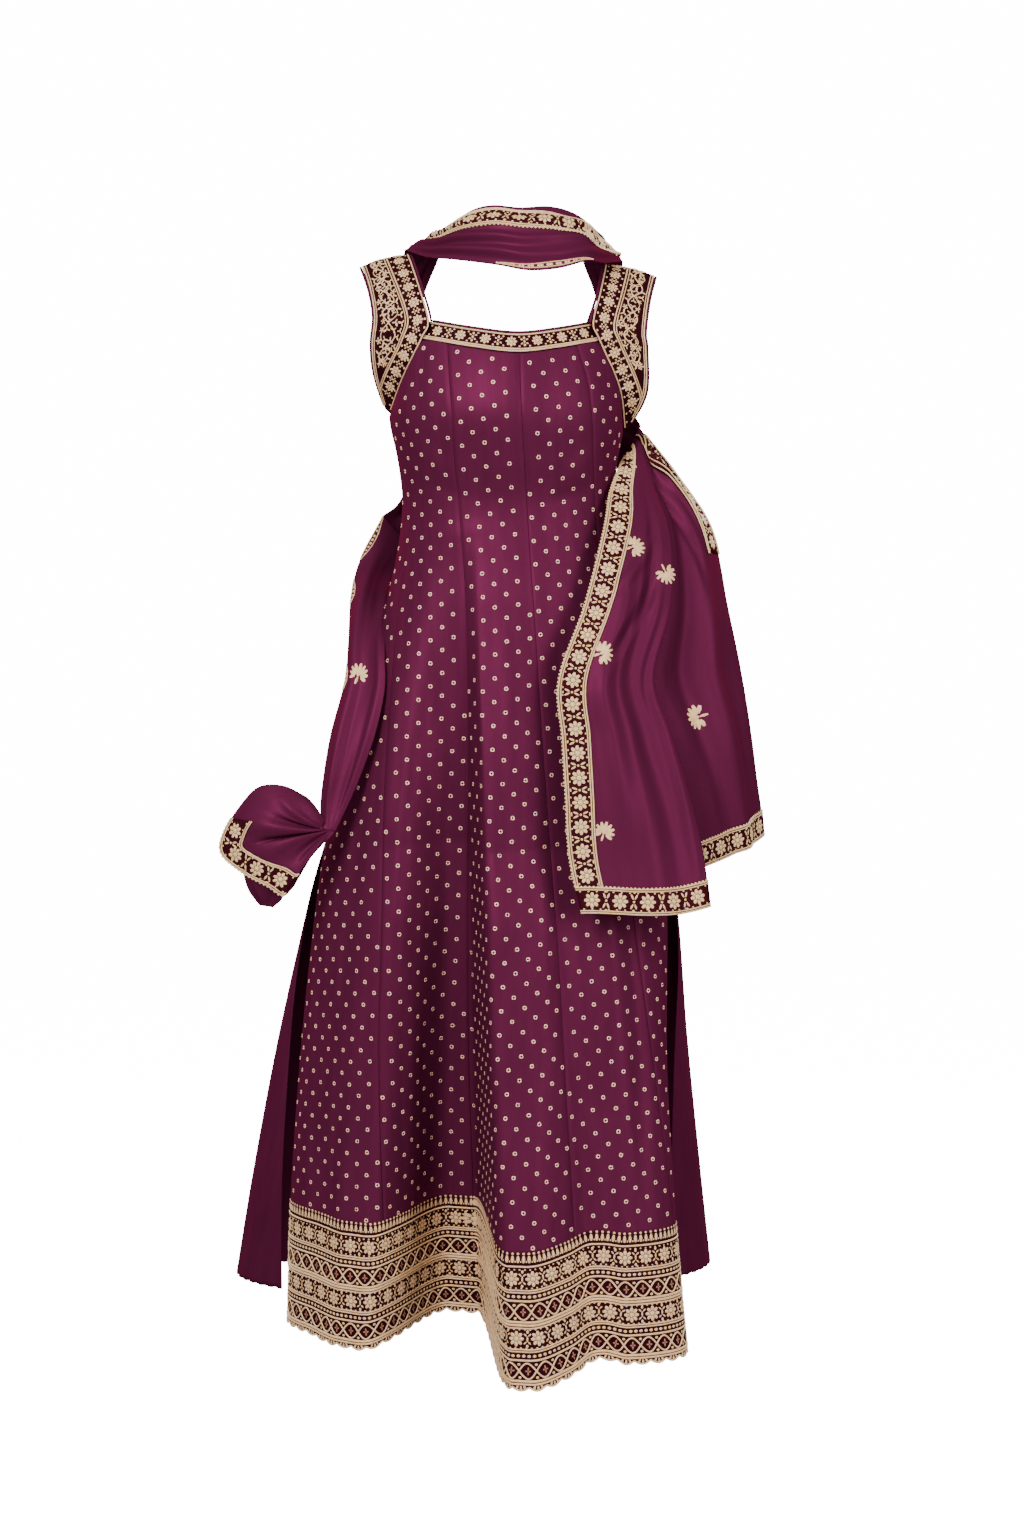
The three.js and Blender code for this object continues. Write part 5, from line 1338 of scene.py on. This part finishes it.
fan = strip(END_LEFT, None, [
    (0.20, 0.14, 0.98, 0.26, 10, 4.0), (0.44, 0.32, 0.99, 0.36, 8, -6.0),
    (0.06, 0.36, 0.96, 0.44, 14, 5.0), (0.36, 0.52, 0.99, 0.52, 8, -6.0),
    (0.24, 0.66, 0.98, 0.60, 13, 4.0), (0.42, 0.78, 0.99, 0.72, 8, -5.0),
    (0.30, 0.90, 0.98, 0.82, 8, 3.0)])
under = strip(END_LEFT_UNDER, None, [(0.3, 0, 0.35, 1, 6, 2.0), (0.7, 0, 0.65, 1, 6, -2.0)])
swath("dupatta_tail", tail, 40, 170, "dupatta_tail_left")
swath("dupatta_end", fan, 60, 150, "dupatta_end_left")
swath("dupatta_end_under", under, 24, 24, "dupatta_end_left_under")


def edge_point(surface, right_edge=False):
    """Places t mm in from one long edge of a strip. A lace on a left edge runs up it,
    and one on a right edge down, so that the lace faces outward."""
    stations = np.linspace(0, 1, 200)
    widths = width_of(surface, stations)

    def point(t, v):
        share = np.asarray(t, float) / np.maximum(np.interp(v, stations, widths),
                                                  1.25 * LACE_WIDTH)
        return surface(1 - share if right_edge else share, v)

    return point


lace("lace_end", edge_point(fan), 16 / 18, 6.8 / 18, "lace_end_left", "dupatta_end")

# The right end falls in two layers across the front of the skirt.

FALL_FRONT = table("left_x left_y left_z right_x right_y right_z puff", [
    (141, 37.6, -239.6, 149.8, 40.4, -217, 1), (135, -16, -242, 157, 11, -218, 2),
    (120, -53, -276, 172, -18, -265, 4), (111, -86, -323, 190, -58, -327, 8),
    (88, -125, -409, 190, -90, -409, 10), (58, -152, -493, 170, -114, -493, 12),
    (62, -160, -559, 190, -122, -559, 12), (66, -167, -625, 210, -130, -625, 12),
    (70, -172, -693, 226, -138, -693, 12), (84, -180, -759, 234, -150, -755, 12),
])
FALL_BACK = table("left_x left_y left_z right_x right_y right_z puff", [
    (150.3, 40.7, -216, 158.6, 42.6, -196.9, 0), (155.2, 22.4, -216.6, 178, 40, -222, 3),
    (164, -8, -266, 205, 38, -256, 6), (178, -42, -327, 246, 28, -321, 10),
    (176, -66, -409, 266, 22, -414, 12), (156, -80, -493, 282, 20, -490, 14),
    (180, -86, -559, 294, 21, -560, 14), (194, -86, -615, 303, 28, -622, 14),
    (208, -80, -672, 309, 30, -662, 12), (222, -70, -722, 312, 32, -692, 10),
])
FALL_FRONT_PLEATS = table("at half height begins ends", [
    (0.42, 0.16, 8, 0.3, 0.95), (0.72, 0.14, -8, 0.2, 0.9), (0.6, 0.2, 6, 0.6, 1.4),
])
FALL_BACK_PLEATS = table("at half height begins ends", [
    (0.35, 0.18, -9, 0.05, 0.85), (0.62, 0.16, 7, 0.3, 1.3),
])
END_STRETCH = 0.1
fall_cloth = strip(FALL_FRONT, FALL_FRONT_PLEATS, [
    (0.80, 0.34, 0.20, 0.44, 12, 3.6), (0.86, 0.38, 0.34, 0.56, 14, -4.6),
    (0.84, 0.40, 0.62, 0.70, 20, 2.4), (0.90, 0.38, 0.78, 0.96, 18, -4.0),
    (0.97, 0.42, 0.93, 0.98, 9, 3.0)])
fall_under = strip(FALL_BACK, FALL_BACK_PLEATS, [
    (0.16, 0.02, 0.80, 0.36, 16, 8.0), (0.42, 0.0, 0.96, 0.28, 9, -3.6),
    (0.10, 0.14, 0.62, 0.42, 12, -6.0), (0.60, 0.38, 0.70, 0.80, 18, 2.6),
    (0.84, 0.46, 0.84, 0.97, 15, -2.4), (0.36, 0.42, 0.44, 0.99, 16, -2.6)])
HEM_DIP = 8.0


def fall(u, v):
    """The front layer, whose hem dips where its folds lean out."""
    u, v = places(u, v)
    dip = HEM_DIP * smooth_step(0.72, 1.0, v) * np.sin(math.pi * np.clip(u, 0, 1)**1.5)
    return fall_cloth(u, v) - dip[..., None] * np.array([0.0, 0.0, 1.0])


swath("dupatta_fall", fall, 84, 200, "dupatta_fall_front")
swath("dupatta_fall_under", fall_under, 64, 190, "dupatta_fall_back")


def hem_point(surface):
    """Places t mm up from the lower end of a strip, across its whole width."""
    shares = np.linspace(0, 1, 200)
    runs = lengths(surface(shares, 1.0) - surface(shares, 1 - END_STRETCH))

    def point(t, u):
        up = (LACE_WIDTH - np.asarray(t, float)) / np.interp(u, shares, runs) * END_STRETCH
        return surface(u, 1 - up)

    return point


lace("lace_fall_side", edge_point(fall), 0.95, 0.09, "lace_fall_front_side", "dupatta_fall")
lace("lace_fall_hem", hem_point(fall), 0.0, 1.0, "lace_fall_front_hem", "dupatta_fall")
lace("lace_fall_under_hem", hem_point(fall_under), 0.0, 1.0, "lace_fall_back_hem",
     "dupatta_fall_under")
lace("lace_fall_under_side", edge_point(fall_under, True), 0.04, 0.37, "lace_fall_back_side",
     "dupatta_fall_under")

# The lace on the hidden edges peeps out where the cloth turns over, in thin crescents:
# along the outer edge of the swath under the arm, and below the bunch across the neck.
peep = new_work()
tail_edge, tail_length = ribbon(edge_point(tail), 4, 1, 0)
loop_edge, loop_length = ribbon(lambda t, v: loop(0.03 + np.asarray(t, float) / 102, v),
                                4, 0.73, 0.40)
for edge, start, stop in ((tail_edge, 0.85 * tail_length, tail_length),
                          (tail_edge, 0.70 * tail_length, 0.78 * tail_length),
                          (tail_edge, 0.42 * tail_length, 0.50 * tail_length),
                          (loop_edge, 0.0, loop_length)):
    s = np.linspace(start, stop, 36)
    bulge = np.sin(np.linspace(0.1, math.pi - 0.1, 36))
    for t, cord in ((0.8, 1.6), (6.4, 1.6)):
        couch(peep, edge, s, t * bulge, cord)
    knots = np.arange(2, 34, 36 * 5.4 / (stop - start)).astype(int)
    sew(peep, bead, [(s[k], 3.6 * bulge[k], 0, 1.1 * bulge[k]) for k in knots], edge)
finish_work("lace_peeping_out", peep, lace_gold)

# Gold sprigs are embroidered here and there on the shawl: palmettes of nine leaves
# on a short stem.
sprig = motif("sprig", [
    (-4 + 7.4 * math.cos(math.radians(a)), 7.4 * math.sin(math.radians(a)), length, 4.6, a, 1.4)
    for a, length in ((0, 15), (27, 14), (-27, 14), (54, 13), (-54, 13), (82, 12), (-82, 12),
                      (112, 9.5), (-112, 9.5))]
    + [(-9.5, 0, 9, 3.0, 0, 1.2), (-1, 0, 10, 4.4, 0, 1.8)])
for name, surface, spots in (
        ("sprigs_fall", fall, [(0.47, 0.36, 20, 1.1), (0.93, 0.40, -62, 1.1),
                               (0.37, 0.515, 14, 1.15), (0.27, 0.84, 75, 1.0)]),
        ("sprigs_tail", tail, [(0.44, 0.47, 90, 1.15)]),
        ("sprigs_fall_under", fall_under, [(0.38, 0.64, 190, 1.2)])):
    work = new_work()
    sew(work, sprig, spots, surface, lift=0.1)
    finish_work(name, work, lace_gold)
